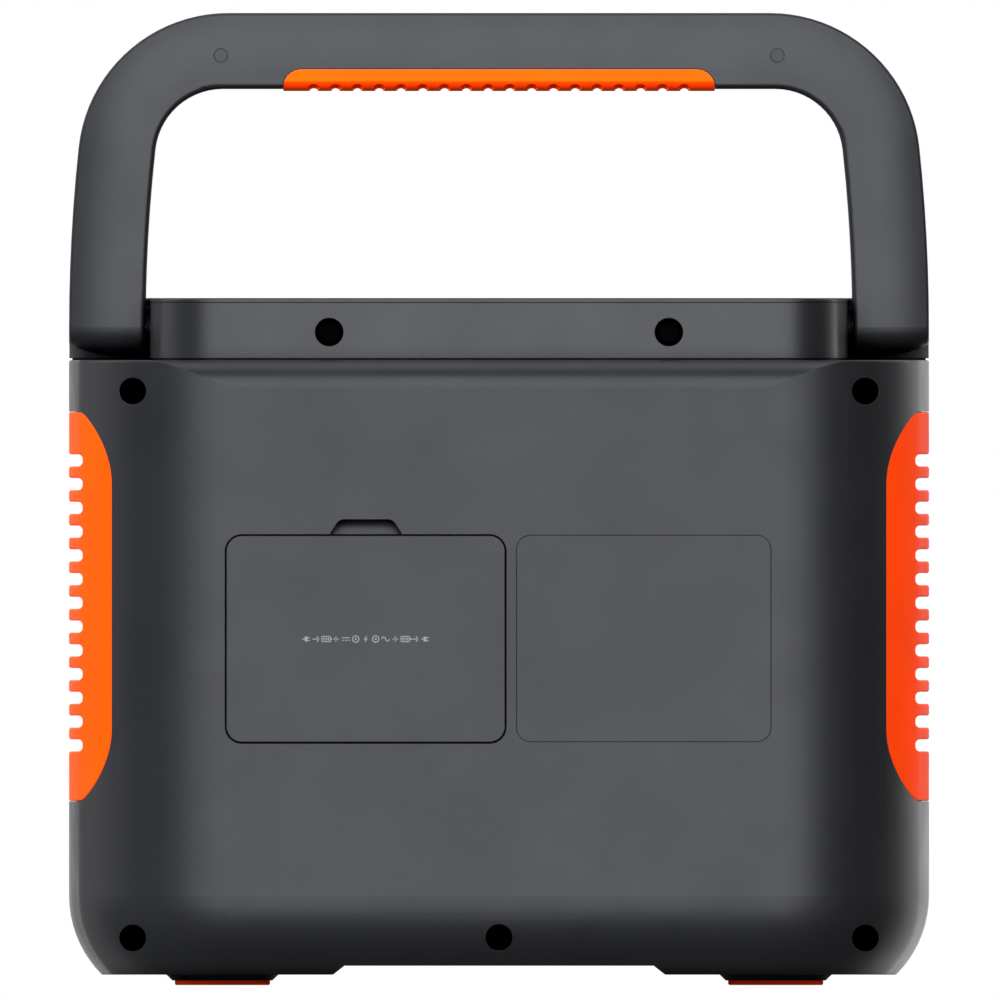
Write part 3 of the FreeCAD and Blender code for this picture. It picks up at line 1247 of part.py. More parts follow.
# ---------------------------------------------------------------- everything, by node name
def build():
    """All sub-parts by name."""
    front, rear = case_shells()
    handle_rear, handle_front = handle_covers()
    grille = side_grille()
    bracket = hinge_bracket()
    parts = {
        "front_shell": front,
        "rear_shell": rear,
        "top_cover": top_cover(),
        "shell_screws": shell_screws(),
        "top_cover_screws": top_cover_screws(),
        "side_grille_right": grille,
        "side_grille_left": mirrored(grille),
        "handle_rear_cover": handle_rear,
        "handle_front_cover": handle_front,
        "handle_core": handle_core(),
        "handle_grip": handle_grip(),
        "handle_plugs": handle_plugs(),
        "handle_screws": handle_screws(),
        "hinge_bushes": hinge_bushes(),
        "hinge_pins": hinge_pins(),
        "hinge_washers": hinge_washers(),
        "hinge_bracket_right": bracket,
        "hinge_bracket_left": mirrored(bracket),
        "port_cover": port_cover(),
        "port_cover_pin": door_pin_rod(DOOR_PIN_RADIUS),
        "input_bay": input_bay(),
        "ac_inlet": ac_inlet(),
        "dc_input_jacks": dc_input_jacks(),
        "expansion_connector": expansion_connector(),
        "breaker_body": breaker_body(),
        "breaker_button": breaker_button(),
        "rating_label": rating_label(),
        "front_panel": front_panel(),
        "display_lens": display_lens(),
        "display_module": display_module(),
        "lamp_lens": lamp_lens(),
        "switch_board": switch_board(),
        "usb_c_ports": usb_ports(USB_C_X, 11.0, 5.4, 2.6, 0.8),
        "usb_a_ports": usb_ports(USB_A_X, 15.0, 7.6, 1.0, 2.0),
        "usb_board": usb_board(),
        "car_socket_barrel": car_socket_barrel(),
        "car_socket_cap": car_socket_cap(),
        "cap_hinge_pin": cap_hinge(),
        "battery_tray": battery_tray(),
        "battery_cells": battery_cells(),
        "cell_busbars": cell_busbars(),
        "battery_cables": battery_cables(),
        "bms_board": bms_board(),
        "mounting_plate": mounting_plate(),
        "inverter_board": inverter_board(),
        "heatsink": heatsink(),
        "transformer": transformer(),
        "fan_frames": fan_frames(),
        "fan_rotor_front": fan_rotor(FAN_CENTRES_Y[0]),
        "fan_rotor_rear": fan_rotor(FAN_CENTRES_Y[1]),
    }
    for name, signs in foot_places().items():
        parts[name] = foot(*signs)
    for name in BUTTONS:
        parts[name] = push_button(name)
    parts["ac_outlets"] = Part.makeCompound([ac_outlet(x) for x in OUTLET_X])
    return parts


os.makedirs("parts", exist_ok=True)
for part_name, part_shape in build().items():
    part_shape.exportStep("parts/" + part_name + ".step")
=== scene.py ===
import math

import bpy
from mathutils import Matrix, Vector


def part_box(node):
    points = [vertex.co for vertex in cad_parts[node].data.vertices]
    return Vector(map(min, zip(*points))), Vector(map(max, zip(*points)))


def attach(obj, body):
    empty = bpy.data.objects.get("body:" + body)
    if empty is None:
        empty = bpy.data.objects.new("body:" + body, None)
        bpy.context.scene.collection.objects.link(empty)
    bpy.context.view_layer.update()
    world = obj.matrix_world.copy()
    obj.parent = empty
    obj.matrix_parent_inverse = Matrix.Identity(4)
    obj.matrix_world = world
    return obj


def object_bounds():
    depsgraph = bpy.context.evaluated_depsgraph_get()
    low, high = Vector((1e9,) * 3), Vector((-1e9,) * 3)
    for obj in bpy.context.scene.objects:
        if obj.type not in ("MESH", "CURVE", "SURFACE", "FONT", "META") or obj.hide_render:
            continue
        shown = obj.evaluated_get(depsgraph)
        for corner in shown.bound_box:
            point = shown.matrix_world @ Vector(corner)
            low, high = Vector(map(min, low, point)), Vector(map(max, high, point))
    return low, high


# Looks of the portable power station: materials, printed marks, light and camera round the CAD frame.
# Lengths are metres. The rear faces +Y and the control face faces -Y.

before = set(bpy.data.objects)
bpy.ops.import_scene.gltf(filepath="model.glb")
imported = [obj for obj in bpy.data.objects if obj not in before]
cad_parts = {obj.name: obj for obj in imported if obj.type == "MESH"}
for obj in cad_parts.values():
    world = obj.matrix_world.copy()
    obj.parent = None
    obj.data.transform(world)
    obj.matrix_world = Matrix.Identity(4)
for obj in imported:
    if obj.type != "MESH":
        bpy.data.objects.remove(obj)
cad_low, cad_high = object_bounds()
cad_centre = (cad_low + cad_high) / 2
cad_size = cad_high - cad_low
MM = 0.001
FULL_TURN = 2 * math.pi

# ---------------------------------------------------------------- node helpers

MIX_FACTOR, MIX_FIRST, MIX_SECOND, MIX_RESULT = 0, 6, 7, 2
NOISE_SPAN = (0.3, 0.7)           # nearly all of a cloudy noise lies between these
BEVEL_SAMPLES = 4
OPENNESS_SAMPLES = 8
OPENNESS_SPAN = (0.12, 0.62)      # share of open sky in a gap, and on an open face
EDGE_SPAN = (0.995, 0.90)         # cosine between real and rounded normal, on a face and on an edge
LEAN_SPAN = (-0.06, -0.30)        # upward part of the normal, on a level face and on an underside

PRINCIPLED = {
    "colour": "Base Color",
    "metallic": "Metallic",
    "roughness": "Roughness",
    "normal": "Normal",
    "level": "Specular IOR Level",
    "tint": "Specular Tint",
    "coat": "Coat Weight",
    "coat_roughness": "Coat Roughness",
    "glow_colour": "Emission Color",
    "glow": "Emission Strength",
    "subsurface": "Subsurface Weight",
    "subsurface_scale": "Subsurface Scale",
}


class Nodes:
    """Short calls that add nodes to one shader tree. A value may be a number, a colour or the output
    of another node."""

    def __init__(self, tree):
        self.tree = tree

    def feed(self, socket, value):
        if isinstance(value, bpy.types.NodeSocket):
            self.tree.links.new(value, socket)
        else:
            socket.default_value = value

    def add(self, kind, **inputs):
        node = self.tree.nodes.new(kind)
        for name, value in inputs.items():
            self.feed(node.inputs[name.replace("_", " ").title()], value)
        return node

    def math(self, operation, first, second=0.0):
        node = self.tree.nodes.new("ShaderNodeMath")
        node.operation = operation
        self.feed(node.inputs[0], first)
        self.feed(node.inputs[1], second)
        return node.outputs[0]

    def vector_math(self, operation, first, second, output="Vector"):
        node = self.tree.nodes.new("ShaderNodeVectorMath")
        node.operation = operation
        self.feed(node.inputs[0], first)
        self.feed(node.inputs[1], second)
        return node.outputs[output]

    def parts(self, vector):
        """The X, Y and Z outputs of a vector."""
        node = self.tree.nodes.new("ShaderNodeSeparateXYZ")
        self.feed(node.inputs[0], vector)
        return node.outputs

    def ease(self, value, start, end, low=0.0, high=1.0):
        """low where value is at start, high where it is at end, with a smooth step between."""
        node = self.tree.nodes.new("ShaderNodeMapRange")
        node.interpolation_type = "SMOOTHSTEP"
        self.feed(node.inputs["Value"], value)
        self.feed(node.inputs["From Min"], start)
        self.feed(node.inputs["From Max"], end)
        self.feed(node.inputs["To Min"], low)
        self.feed(node.inputs["To Max"], high)
        return node.outputs["Result"]

    def spread(self, noise, low, high):
        """The noise, stretched so that it runs from low to high."""
        return self.ease(noise, *NOISE_SPAN, low, high)

    def mix(self, amount, first, second):
        node = self.tree.nodes.new("ShaderNodeMix")
        node.data_type = "RGBA"
        self.feed(node.inputs[MIX_FACTOR], amount)
        self.feed(node.inputs[MIX_FIRST], first)
        self.feed(node.inputs[MIX_SECOND], second)
        return node.outputs[MIX_RESULT]

    def noise(self, place, size, detail=2.0):
        """Cloudy noise from 0 to 1 whose blotches are about size across."""
        return self.add("ShaderNodeTexNoise", vector=place, scale=1 / size, detail=detail).outputs[0]

    def cells(self, place, size, feature="F1"):
        """Distance inside a pattern of cells about size across."""
        node = self.tree.nodes.new("ShaderNodeTexVoronoi")
        node.feature = feature
        self.feed(node.inputs["Vector"], place)
        self.feed(node.inputs["Scale"], 1 / size)
        return node.outputs["Distance"]

    def bump(self, height, depth, normal=None):
        """Normal of a relief that is depth deep where height goes from 0 to 1."""
        node = self.add("ShaderNodeBump", height=height, distance=depth, strength=1.0)
        if normal is not None:
            self.feed(node.inputs["Normal"], normal)
        return node.outputs["Normal"]


class Finish(Nodes):
    """One material: a Principled shader whose inputs are fed by name."""

    def __init__(self, name):
        self.material = bpy.data.materials.new(name)
        self.material.use_nodes = True
        super().__init__(self.material.node_tree)
        self.shader = self.tree.nodes["Principled BSDF"]
        self.place = self.tree.nodes.new("ShaderNodeTexCoord").outputs["Object"]

    def set(self, **inputs):
        for name, value in inputs.items():
            self.feed(self.shader.inputs[PRINCIPLED[name]], value)

    def scaled(self, colour, factor):
        node = self.tree.nodes.new("ShaderNodeVectorMath")
        node.operation = "SCALE"
        self.feed(node.inputs[0], colour[:3] if isinstance(colour, tuple) else colour)
        self.feed(node.inputs["Scale"], factor)
        return node.outputs["Vector"]

    def tone(self, colour, size, amount):
        """The colour, made lighter and darker by up to amount in blotches about size across."""
        return self.scaled(colour, self.spread(self.noise(self.place, size, 3.0), 1 - amount, 1 + amount))

    def face_normal(self):
        return self.tree.nodes.new("ShaderNodeNewGeometry").outputs["Normal"]

    def rounded_normal(self, radius):
        """Shading normal that rounds the edges off by radius."""
        node = self.add("ShaderNodeBevel", radius=radius)
        node.samples = BEVEL_SAMPLES
        return node.outputs["Normal"]

    def openness(self, reach):
        """1 on open faces, falling to 0 deep in gaps and recesses narrower than reach."""
        node = self.add("ShaderNodeAmbientOcclusion", distance=reach)
        node.samples = OPENNESS_SAMPLES
        return self.ease(node.outputs["AO"], *OPENNESS_SPAN)

    def underside(self):
        """0 on faces that look level or upwards, rising to 1 where they lean over."""
        return self.ease(self.parts(self.face_normal())["Z"], *LEAN_SPAN)

    def edges(self, rounded):
        """1 along edges, where the rounded normal leaves the real one, and 0 on open faces."""
        facing = self.vector_math("DOT_PRODUCT", self.face_normal(), rounded, "Value")
        return self.ease(facing, *EDGE_SPAN)


def opaque(red, green, blue):
    return (red, green, blue, 1.0)


# ---------------------------------------------------------------- materials

WHITE = opaque(1.0, 1.0, 1.0)
CASE_GREY = opaque(0.0092, 0.0097, 0.0116)
# The deck and handle greys are the case grey made a little lighter, as painted light for the brighter light
# that falls on deck and handle.
LIT_DECK_GREY = opaque(0.0098, 0.0103, 0.0122)
LIT_HANDLE_GREY = opaque(0.0095, 0.0100, 0.0119)
FASCIA_GREY = opaque(0.0080, 0.0085, 0.0105)
BUTTON_GREY = opaque(0.060, 0.063, 0.070)
ORANGE = opaque(0.90, 0.051, 0.0010)
# The grip orange is the rubber's own orange painted lighter and yellower, as painted light on the grip's
# crown; the deep orange is its painted-shade copy for gaps and undersides.
LIT_GRIP_ORANGE = opaque(0.93, 0.100, 0.0030)
SHADED_GRIP_ORANGE = opaque(0.88, 0.042, 0.0012)
ORANGE_SHEEN = opaque(1.0, 0.12, 0.01)
BLACK = opaque(0.0045, 0.0045, 0.0050)
SCREW_BLACK = opaque(0.0030, 0.0030, 0.0032)
RUBBER_BLACK = opaque(0.0090, 0.0090, 0.0100)
LAMP_WHITE = opaque(0.80, 0.80, 0.76)
STEEL_GREY = opaque(0.58, 0.58, 0.56)
ALUMINIUM_GREY = opaque(0.78, 0.79, 0.80)
COPPER_RED = opaque(0.80, 0.42, 0.26)
CELL_BLUE = opaque(0.03, 0.16, 0.22)
BOARD_GREEN = opaque(0.006, 0.055, 0.028)
TRACK_GREEN = opaque(0.02, 0.11, 0.05)
SOLDER_GREY = opaque(0.55, 0.56, 0.52)
GLASS_LINE = opaque(0.004, 0.005, 0.006)
GLASS_CELL = opaque(0.010, 0.012, 0.014)
INK_GREY = opaque(0.17, 0.172, 0.18)
SCREEN_WHITE = opaque(0.75, 0.88, 1.0)
SCREEN_ORANGE = opaque(1.0, 0.30, 0.03)

# Moulded plastic
DUST_SIZE = 0.45                  # share of the grain
PEBBLE_RELIEF = 0.7
DUST_RELIEF = 0.5
DUST_TONE = 0.07
TONE_SIZE = 70 * MM
TONE_CHANGE = 0.05
GLOSS_SIZE = 30 * MM
GLOSS_CHANGE = 0.025
RUBBED_SIZE = 9 * MM
RUBBED_SPAN = (0.35, 0.65)
RUBBED_SHINE = 0.06


def moulded(name, colour, roughness, grain=0.8 * MM, depth=0.022 * MM, edge=0.3 * MM, wear=0.35,
            level=0.5, reach=16 * MM, gap_shade_share=0.25, shaded=None, **inputs):
    """Moulded plastic: an eroded-mould grain, faint tone and gloss changes, edges rubbed a little
    smoother, and painted shade: gaps narrower than reach keep only the gap share of their colour and
    reflection level, and the colour turns to shaded, if one is given, in gaps and on undersides."""
    finish = Finish(name)
    openness = finish.openness(reach)
    # Painted shade: gaps and faces that lean over take the shaded colour in place of the lit one.
    if shaded is not None:
        painted_shade_amount = finish.math("MAXIMUM", finish.math("SUBTRACT", 1.0, openness), finish.underside())
        colour = finish.mix(painted_shade_amount, colour, shaded)
    rounded = finish.rounded_normal(edge)
    patches = finish.ease(finish.noise(finish.place, RUBBED_SIZE), *RUBBED_SPAN)
    rubbed = finish.math("MULTIPLY", finish.edges(rounded), patches)
    pebbles = finish.cells(finish.place, grain)
    dust = finish.noise(finish.place, grain * DUST_SIZE, 3.0)
    relief = finish.math("ADD", finish.math("MULTIPLY", pebbles, PEBBLE_RELIEF),
                         finish.math("MULTIPLY", dust, DUST_RELIEF))
    toned = finish.tone(colour, TONE_SIZE, TONE_CHANGE)
    speckled = finish.scaled(toned, finish.spread(dust, 1 - DUST_TONE, 1 + DUST_TONE))
    worn = finish.mix(finish.math("MULTIPLY", rubbed, wear), speckled, finish.scaled(colour, 1 + wear * 2))
    gloss = finish.spread(finish.noise(finish.place, GLOSS_SIZE, 4.0),
                          roughness - GLOSS_CHANGE, roughness + GLOSS_CHANGE)
    # Painted shade: the colour and the reflection level fall to a share of themselves in gaps and recesses,
    # where the occlusion openness is low.
    finish.set(
        colour=finish.scaled(worn, finish.ease(openness, 0.0, 1.0, gap_shade_share, 1.0)),
        roughness=finish.math("SUBTRACT", gloss, finish.math("MULTIPLY", rubbed, RUBBED_SHINE)),
        level=finish.math("MULTIPLY", openness, level),
        normal=finish.bump(relief, depth, rounded),
        **inputs,
    )
    return finish.material


def case_plastic():
    return moulded("case_plastic", CASE_GREY, 0.37)


def deck_plastic():
    # Painted light: the case plastic in a slightly lighter grey, for the brighter light on the deck.
    return moulded("deck_plastic", LIT_DECK_GREY, 0.35, level=0.61)


def handle_plastic():
    # Painted light: the case plastic in a slightly lighter grey, for the brighter light on the handle.
    return moulded("handle_plastic", LIT_HANDLE_GREY, 0.37, grain=0.7 * MM, depth=0.018 * MM, level=0.58)


def accent_plastic():
    return moulded("accent_plastic", ORANGE, 0.48, depth=0.016 * MM, wear=0.1, level=0.0125,
                   tint=ORANGE_SHEEN)


# Orange rubber of grip and feet: its base orange is painted light, lighter and yellower than the grille
# orange, and it turns to a painted-shade red-orange in gaps and on undersides.
def accent_rubber():
    return moulded("accent_rubber", LIT_GRIP_ORANGE, 0.6, grain=0.5 * MM, depth=0.02 * MM, wear=0.08,
                   level=0.0125, reach=40 * MM, gap_shade_share=0.36, shaded=SHADED_GRIP_ORANGE, tint=ORANGE_SHEEN)


def fascia_plastic():
    return moulded("fascia_plastic", FASCIA_GREY, 0.30, grain=0.35 * MM, depth=0.006 * MM)


def button_plastic():
    return moulded("button_plastic", BUTTON_GREY, 0.38, grain=0.35 * MM, depth=0.006 * MM)


def socket_plastic():
    return moulded("socket_plastic", BLACK, 0.36, grain=0.4 * MM, depth=0.008 * MM)


def inner_plastic():
    return moulded("inner_plastic", RUBBER_BLACK, 0.5, grain=0.6 * MM, depth=0.015 * MM)


def bush_plastic():
    return moulded("bush_plastic", BLACK, 0.45, grain=0.4 * MM, depth=0.004 * MM, wear=0.1, level=0.3)


def cap_rubber():
    return moulded("cap_rubber", RUBBER_BLACK, 0.62, grain=0.45 * MM, depth=0.014 * MM, wear=0.2)


def label():
    """Rating plate film: the case colour with a finer grain."""
    return moulded("label", CASE_GREY, 0.37, grain=0.4 * MM, depth=0.008 * MM)


def window():
    """Display cover: black acrylic under a clear hard coat with hairline wiping marks."""
    finish = Finish("window")
    stretched = finish.vector_math("MULTIPLY", finish.place, (0.05, 1.0, 1.0))
    wiped = finish.noise(stretched, 0.35 * MM)
    finish.set(
        colour=finish.tone(BLACK, 20 * MM, 0.1),
        roughness=finish.ease(wiped, 0.5, 0.8, 0.08, 0.16),
        normal=finish.bump(wiped, 0.0004 * MM, finish.rounded_normal(0.3 * MM)),
        coat=0.6,
        coat_roughness=0.04,
    )
    return finish.material


def lamp_diffuser():
    """Lamp cover: milky polycarbonate with fine prism ribs."""
    finish = Finish("lamp_diffuser")
    rib_pitch = 1.6 * MM
    across = finish.parts(finish.place)["X"]
    ribs = finish.math("PINGPONG", finish.math("MULTIPLY", across, 1 / rib_pitch), 0.5)
    finish.set(
        colour=finish.tone(LAMP_WHITE, 15 * MM, 0.05),
        roughness=finish.spread(finish.noise(finish.place, 3 * MM), 0.28, 0.38),
        normal=finish.bump(ribs, 0.12 * MM, finish.rounded_normal(0.4 * MM)),
        subsurface=0.35,
        subsurface_scale=3 * MM,
    )
    return finish.material


def metal(name, colour, roughness, stretch, metallic=1.0, **inputs):
    """Worked metal: brushed lines drawn out along one axis, with stains that change its gloss."""
    finish = Finish(name)
    lines = finish.noise(finish.vector_math("MULTIPLY", finish.place, stretch), 0.5 * MM, 3.0)
    stains = finish.noise(finish.place, 14 * MM, 4.0)
    finish.set(
        colour=finish.scaled(finish.tone(colour, 25 * MM, 0.08), finish.spread(lines, 0.92, 1.08)),
        metallic=metallic,
        roughness=finish.spread(stains, roughness - 0.06, roughness + 0.08),
        normal=finish.bump(lines, 0.004 * MM, finish.rounded_normal(0.15 * MM)),
        **inputs,
    )
    return finish.material


def steel():
    return metal("steel", STEEL_GREY, 0.34, (1.0, 0.08, 1.0))


def screw_black():
    return metal("screw_black", SCREW_BLACK, 0.7, (1.0, 0.2, 1.0), metallic=0.0, level=0.2)


def aluminium():
    return metal("aluminium", ALUMINIUM_GREY, 0.36, (0.06, 1.0, 1.0))


def copper():
    return metal("copper", COPPER_RED, 0.32, (0.1, 1.0, 1.0))


def cell_can():
    """Battery cell: heat-shrink film with faint creases round each can."""
    finish = Finish("cell_can")
    stretched = finish.vector_math("MULTIPLY", finish.place, (1.0, 1.0, 0.12))
    creases = finish.noise(stretched, 2.5 * MM, 3.0)
    finish.set(
        colour=finish.tone(CELL_BLUE, 12 * MM, 0.15),
        roughness=finish.spread(creases, 0.25, 0.4),
        normal=finish.bump(creases, 0.05 * MM, finish.rounded_normal(0.3 * MM)),
        coat=0.3,
    )
    return finish.material


def circuit_board():
    """Solder-mask green with paler copper tracks and pads showing through."""
    finish = Finish("circuit_board")
    tracks = finish.cells(finish.place, 4 * MM, "DISTANCE_TO_EDGE")
    pads = finish.cells(finish.place, 2.5 * MM)
    board = finish.mix(finish.ease(tracks, 0.10, 0.06), BOARD_GREEN, TRACK_GREEN)
    finish.set(
        colour=finish.mix(finish.ease(pads, 0.16, 0.12), board, SOLDER_GREY),
        roughness=finish.spread(finish.noise(finish.place, 5 * MM), 0.28, 0.42),
        normal=finish.bump(tracks, 0.03 * MM, finish.rounded_normal(0.15 * MM)),
    )
    return finish.material


def display():
    """Back of the screen module: dark glass with a faint cell structure."""
    finish = Finish("display")
    grid = finish.cells(finish.place, 0.6 * MM, "DISTANCE_TO_EDGE")
    finish.set(
        colour=finish.mix(finish.ease(grid, 0.05, 0.15), GLASS_LINE, GLASS_CELL),
        roughness=finish.spread(finish.noise(finish.place, 6 * MM), 0.15, 0.25),
        normal=finish.bump(grid, 0.004 * MM),
    )
    return finish.material


def ink(name, colour):
    """Pad-printed ink: slightly uneven cover with a dry, fine-grained face."""
    finish = Finish(name)
    cover = finish.noise(finish.place, 0.25 * MM, 3.0)
    finish.set(
        colour=finish.scaled(finish.tone(colour, 6 * MM, 0.05), finish.spread(cover, 0.86, 1.08)),
        level=0.3,
        roughness=finish.spread(cover, 0.5, 0.62),
        normal=finish.bump(cover, 0.004 * MM),
    )
    return finish.material


def screen_light(name, colour, power):
    """Lit display segment with a fine dot structure."""
    finish = Finish(name)
    dots = finish.cells(finish.place, 0.28 * MM)
    finish.set(
        colour=BLACK,
        roughness=0.3,
        glow_colour=finish.scaled(colour, finish.ease(dots, 0.65, 0.25, 0.75, 1.1)),
        glow=power,
        normal=finish.bump(dots, 0.002 * MM),
    )
    return finish.material


SLOT_FINISHES = {
    make.__name__: make
    for make in (
        case_plastic, deck_plastic, handle_plastic, accent_plastic, accent_rubber, fascia_plastic,
        button_plastic, window, lamp_diffuser, display, socket_plastic, cap_rubber, steel, screw_black,
        bush_plastic, aluminium, circuit_board, cell_can, copper, label, inner_plastic,
    )
}


def paint_frame():
    """Every CAD node gets the finish of the material slot that it already carries."""
    made = {}
    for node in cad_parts.values():
        for place, old in enumerate(node.data.materials):
            slot = old.name
            if slot not in made:
                made[slot] = SLOT_FINISHES[slot]()
            node.data.materials[place] = made[slot]


# ---------------------------------------------------------------- printed marks

PRINT_HEIGHT = 0.03 * MM
ROUND_STEPS = 40
SIDES = (-1, 1)


class Marks:
    """Flat printed shapes on a wall. Shapes are given in millimetres from the marks' centre: across
    towards the right hand of someone facing the wall, and up."""

    def __init__(self, name, centre, outward):
        self.name = name
        self.centre = Vector(centre)
        self.outward = outward
        self.origin = (0.0, 0.0)
        self.scale = 1.0
        self.points = []
        self.faces = []

    def shape(self, outline):
        """Closed outline, raised off the wall by the thickness of the print."""
        first = len(self.points)
        count = len(outline)
        for lift in (0.0, PRINT_HEIGHT):
            for across, up in outline:
                across = self.origin[0] + across * self.scale
                up = self.origin[1] + up * self.scale
                offset = Vector((-self.outward * across * MM, self.outward * lift, up * MM))
                self.points.append(self.centre + offset)
        self.faces.append([first + index for index in range(count)])
        self.faces.append([first + count + index for index in reversed(range(count))])
        for index in range(count):
            low, next_low = first + index, first + (index + 1) % count
            self.faces.append([low, low + count, next_low + count, next_low])

    def bar(self, across, up, width, height):
        left, right = across - width / 2, across + width / 2
        low, high = up - height / 2, up + height / 2
        self.shape([(left, low), (right, low), (right, high), (left, high)])

    def line(self, start, end, width):
        """Straight stroke between two places."""
        along = (Vector(end) - Vector(start)).normalized() * width / 2
        side = Vector((-along.y, along.x))
        start, end = Vector(start) - along, Vector(end) + along
        self.shape([tuple(start - side), tuple(end - side), tuple(end + side), tuple(start + side)])

    def curve(self, across, up, radius, width, start=0.0, end=FULL_TURN):
        """Stroke along a circle, counter-clockwise from start to end in radians."""
        steps = max(3, round(ROUND_STEPS * (end - start) / FULL_TURN))
        inner, outer = radius - width / 2, radius + width / 2
        for step in range(steps):
            low = start + (end - start) * step / steps
            high = start + (end - start) * (step + 1) / steps
            ends = ((inner, low), (outer, low), (outer, high), (inner, high))
            self.shape([(across + reach * math.cos(angle), up + reach * math.sin(angle))
                        for reach, angle in ends])

    def disc(self, across, up, radius):
        angles = [FULL_TURN * step / ROUND_STEPS for step in range(ROUND_STEPS)]
        self.shape([(across + radius * math.cos(angle), up + radius * math.sin(angle)) for angle in angles])

    def sign(self, draw, across, up, height):
        """One sign about the place given. The lengths in draw are shares of the sign's height."""
        self.origin = (across, up)
        self.scale = height
        draw(self)
        self.origin = (0.0, 0.0)
        self.scale = 1.0

    def finish(self, material, body):
        """The marks as one object that moves with a body."""
        mesh = bpy.data.meshes.new(self.name)
        mesh.from_pydata(self.points, [], self.faces)
        mesh.materials.append(material)
        printed = bpy.data.objects.new(self.name, mesh)
        bpy.context.scene.collection.objects.link(printed)
        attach(printed, body)


# Signs. Their lengths are shares of the sign's height, from its middle.
STROKE = 0.13


def power_sign(marks):
    """Ring that is open at the top, with a short bar in the opening."""
    top = math.pi / 2
    opening = math.radians(38)
    marks.curve(0.0, -0.06, 0.38, STROKE, top + opening, top + FULL_TURN - opening)
    marks.line((0.0, 0.08), (0.0, 0.42), STROKE)


def wave_sign(marks):
    """Alternating current: a half ring up, then one down."""
    radius = 0.24
    marks.curve(-radius, 0.0, radius, STROKE, 0.0, math.pi)
    marks.curve(radius, 0.0, radius, STROKE, math.pi, FULL_TURN)


def steady_sign(marks):
    """Direct current: a line over three dashes."""
    rise = 0.16
    marks.bar(0.0, rise, 1.0, STROKE)
    for place in (-1, 0, 1):
        marks.bar(place * 0.38, -rise, 0.24, STROKE)


def lamp_sign(marks):
    """Ring with eight rays."""
    rays = 8
    marks.curve(0.0, 0.0, 0.2, STROKE)
    for index in range(rays):
        angle = FULL_TURN * index / rays
        ends = [(reach * math.cos(angle), reach * math.sin(angle)) for reach in (0.36, 0.46)]
        marks.line(*ends, STROKE * 0.8)


def arrow_sign(marks):
    tip = 0.42
    barb = 0.3
    marks.line((-tip, 0.0), (tip, 0.0), STROKE)
    for side in SIDES:
        marks.line((tip, 0.0), (tip - barb, side * barb), STROKE)


def plug_sign(marks):
    """Mains plug seen from the side: body, cord to the left and two pins."""
    marks.bar(-0.02, 0.0, 0.36, 0.62)
    marks.bar(-0.34, 0.0, 0.3, STROKE)
    for side in SIDES:
        marks.bar(0.3, side * 0.18, 0.3, STROKE)


def jack_sign(marks):
    """Round connector: ring and centre pin."""
    marks.curve(0.0, 0.0, 0.4, STROKE)
    marks.disc(0.0, 0.0, 0.14)


def battery_sign(marks):
    """Lying battery: case, end contact and three charge bars."""
    width = 1.2
    height = 0.66
    for side in SIDES:
        marks.bar(0.0, side * height / 2, width, STROKE)
        marks.bar(side * (width - STROKE) / 2, 0.0, STROKE, height)
    marks.bar(width * 0.56, 0.0, STROKE, 0.26)
    for place in (-1, 0, 1):
        marks.bar(place * width * 0.24, 0.0, width * 0.14, 0.36)


def plus_sign(marks):
    length = 0.7
    marks.bar(0.0, 0.0, length, STROKE)
    marks.bar(0.0, 0.0, STROKE, length)


def bolt_sign(marks):
    """Charging: two slanted triangles, one the other turned half round."""
    upper = [(0.12, 0.5), (-0.26, -0.08), (0.02, -0.08)]
    marks.shape(upper)
    marks.shape([(-across, -up) for across, up in upper])


# Lengths of the printed marks are millimetres.
DOOR_ROW = (
    plug_sign, arrow_sign, battery_sign, plus_sign, steady_sign, jack_sign, bolt_sign,
    jack_sign, wave_sign, plus_sign, battery_sign, arrow_sign, plug_sign,
)
DOOR_SIGN = 3.3
DOOR_SIGN_PITCH = 4.1
BUTTON_SIGN = 0.52                # share of a button's width
PORT_SIGN = 5.0
PORT_SIGN_GAP = 6.0


def wall_centre(node, outward):
    """Middle of a node's outer face towards +Y (1) or -Y (-1)."""
    low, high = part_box(node)
    return Vector(((low.x + high.x) / 2, high.y if outward > 0 else low.y, (low.z + high.z) / 2))


def door_marks(paint):
    """Row of small signs across the input door, in place of words."""
    marks = Marks("door_signs", wall_centre("port_cover", 1), 1)
    middle = (len(DOOR_ROW) - 1) / 2
    for index, draw in enumerate(DOOR_ROW):
        marks.sign(draw, (index - middle) * DOOR_SIGN_PITCH, 0.0, DOOR_SIGN)
    marks.finish(paint, "port_cover")


def button_marks(paint):
    """One sign on each key of the control face."""
    signs = {
        "main_power_button": power_sign,
        "ac_button": wave_sign,
        "dc_button": steady_sign,
        "lamp_button": lamp_sign,
    }
    for node, draw in signs.items():
        low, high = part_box(node)
        marks = Marks(node + "_sign", wall_centre(node, -1), -1)
        marks.sign(draw, 0.0, 0.0, (high.x - low.x) / MM * BUTTON_SIGN)
        marks.finish(paint, node)


def port_marks(paint):
    """Signs on the fascia above each group of outlets."""
    signs = {"ac_outlets": wave_sign, "usb_c_ports": bolt_sign, "usb_a_ports": bolt_sign}
    panel_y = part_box("front_panel")[0].y
    for node, draw in signs.items():
        low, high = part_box(node)
        centre = ((low.x + high.x) / 2, panel_y, high.z + PORT_SIGN_GAP * MM)
        marks = Marks(node + "_sign", centre, -1)
        marks.sign(draw, 0.0, 0.0, PORT_SIGN)
        marks.finish(paint, "housing")


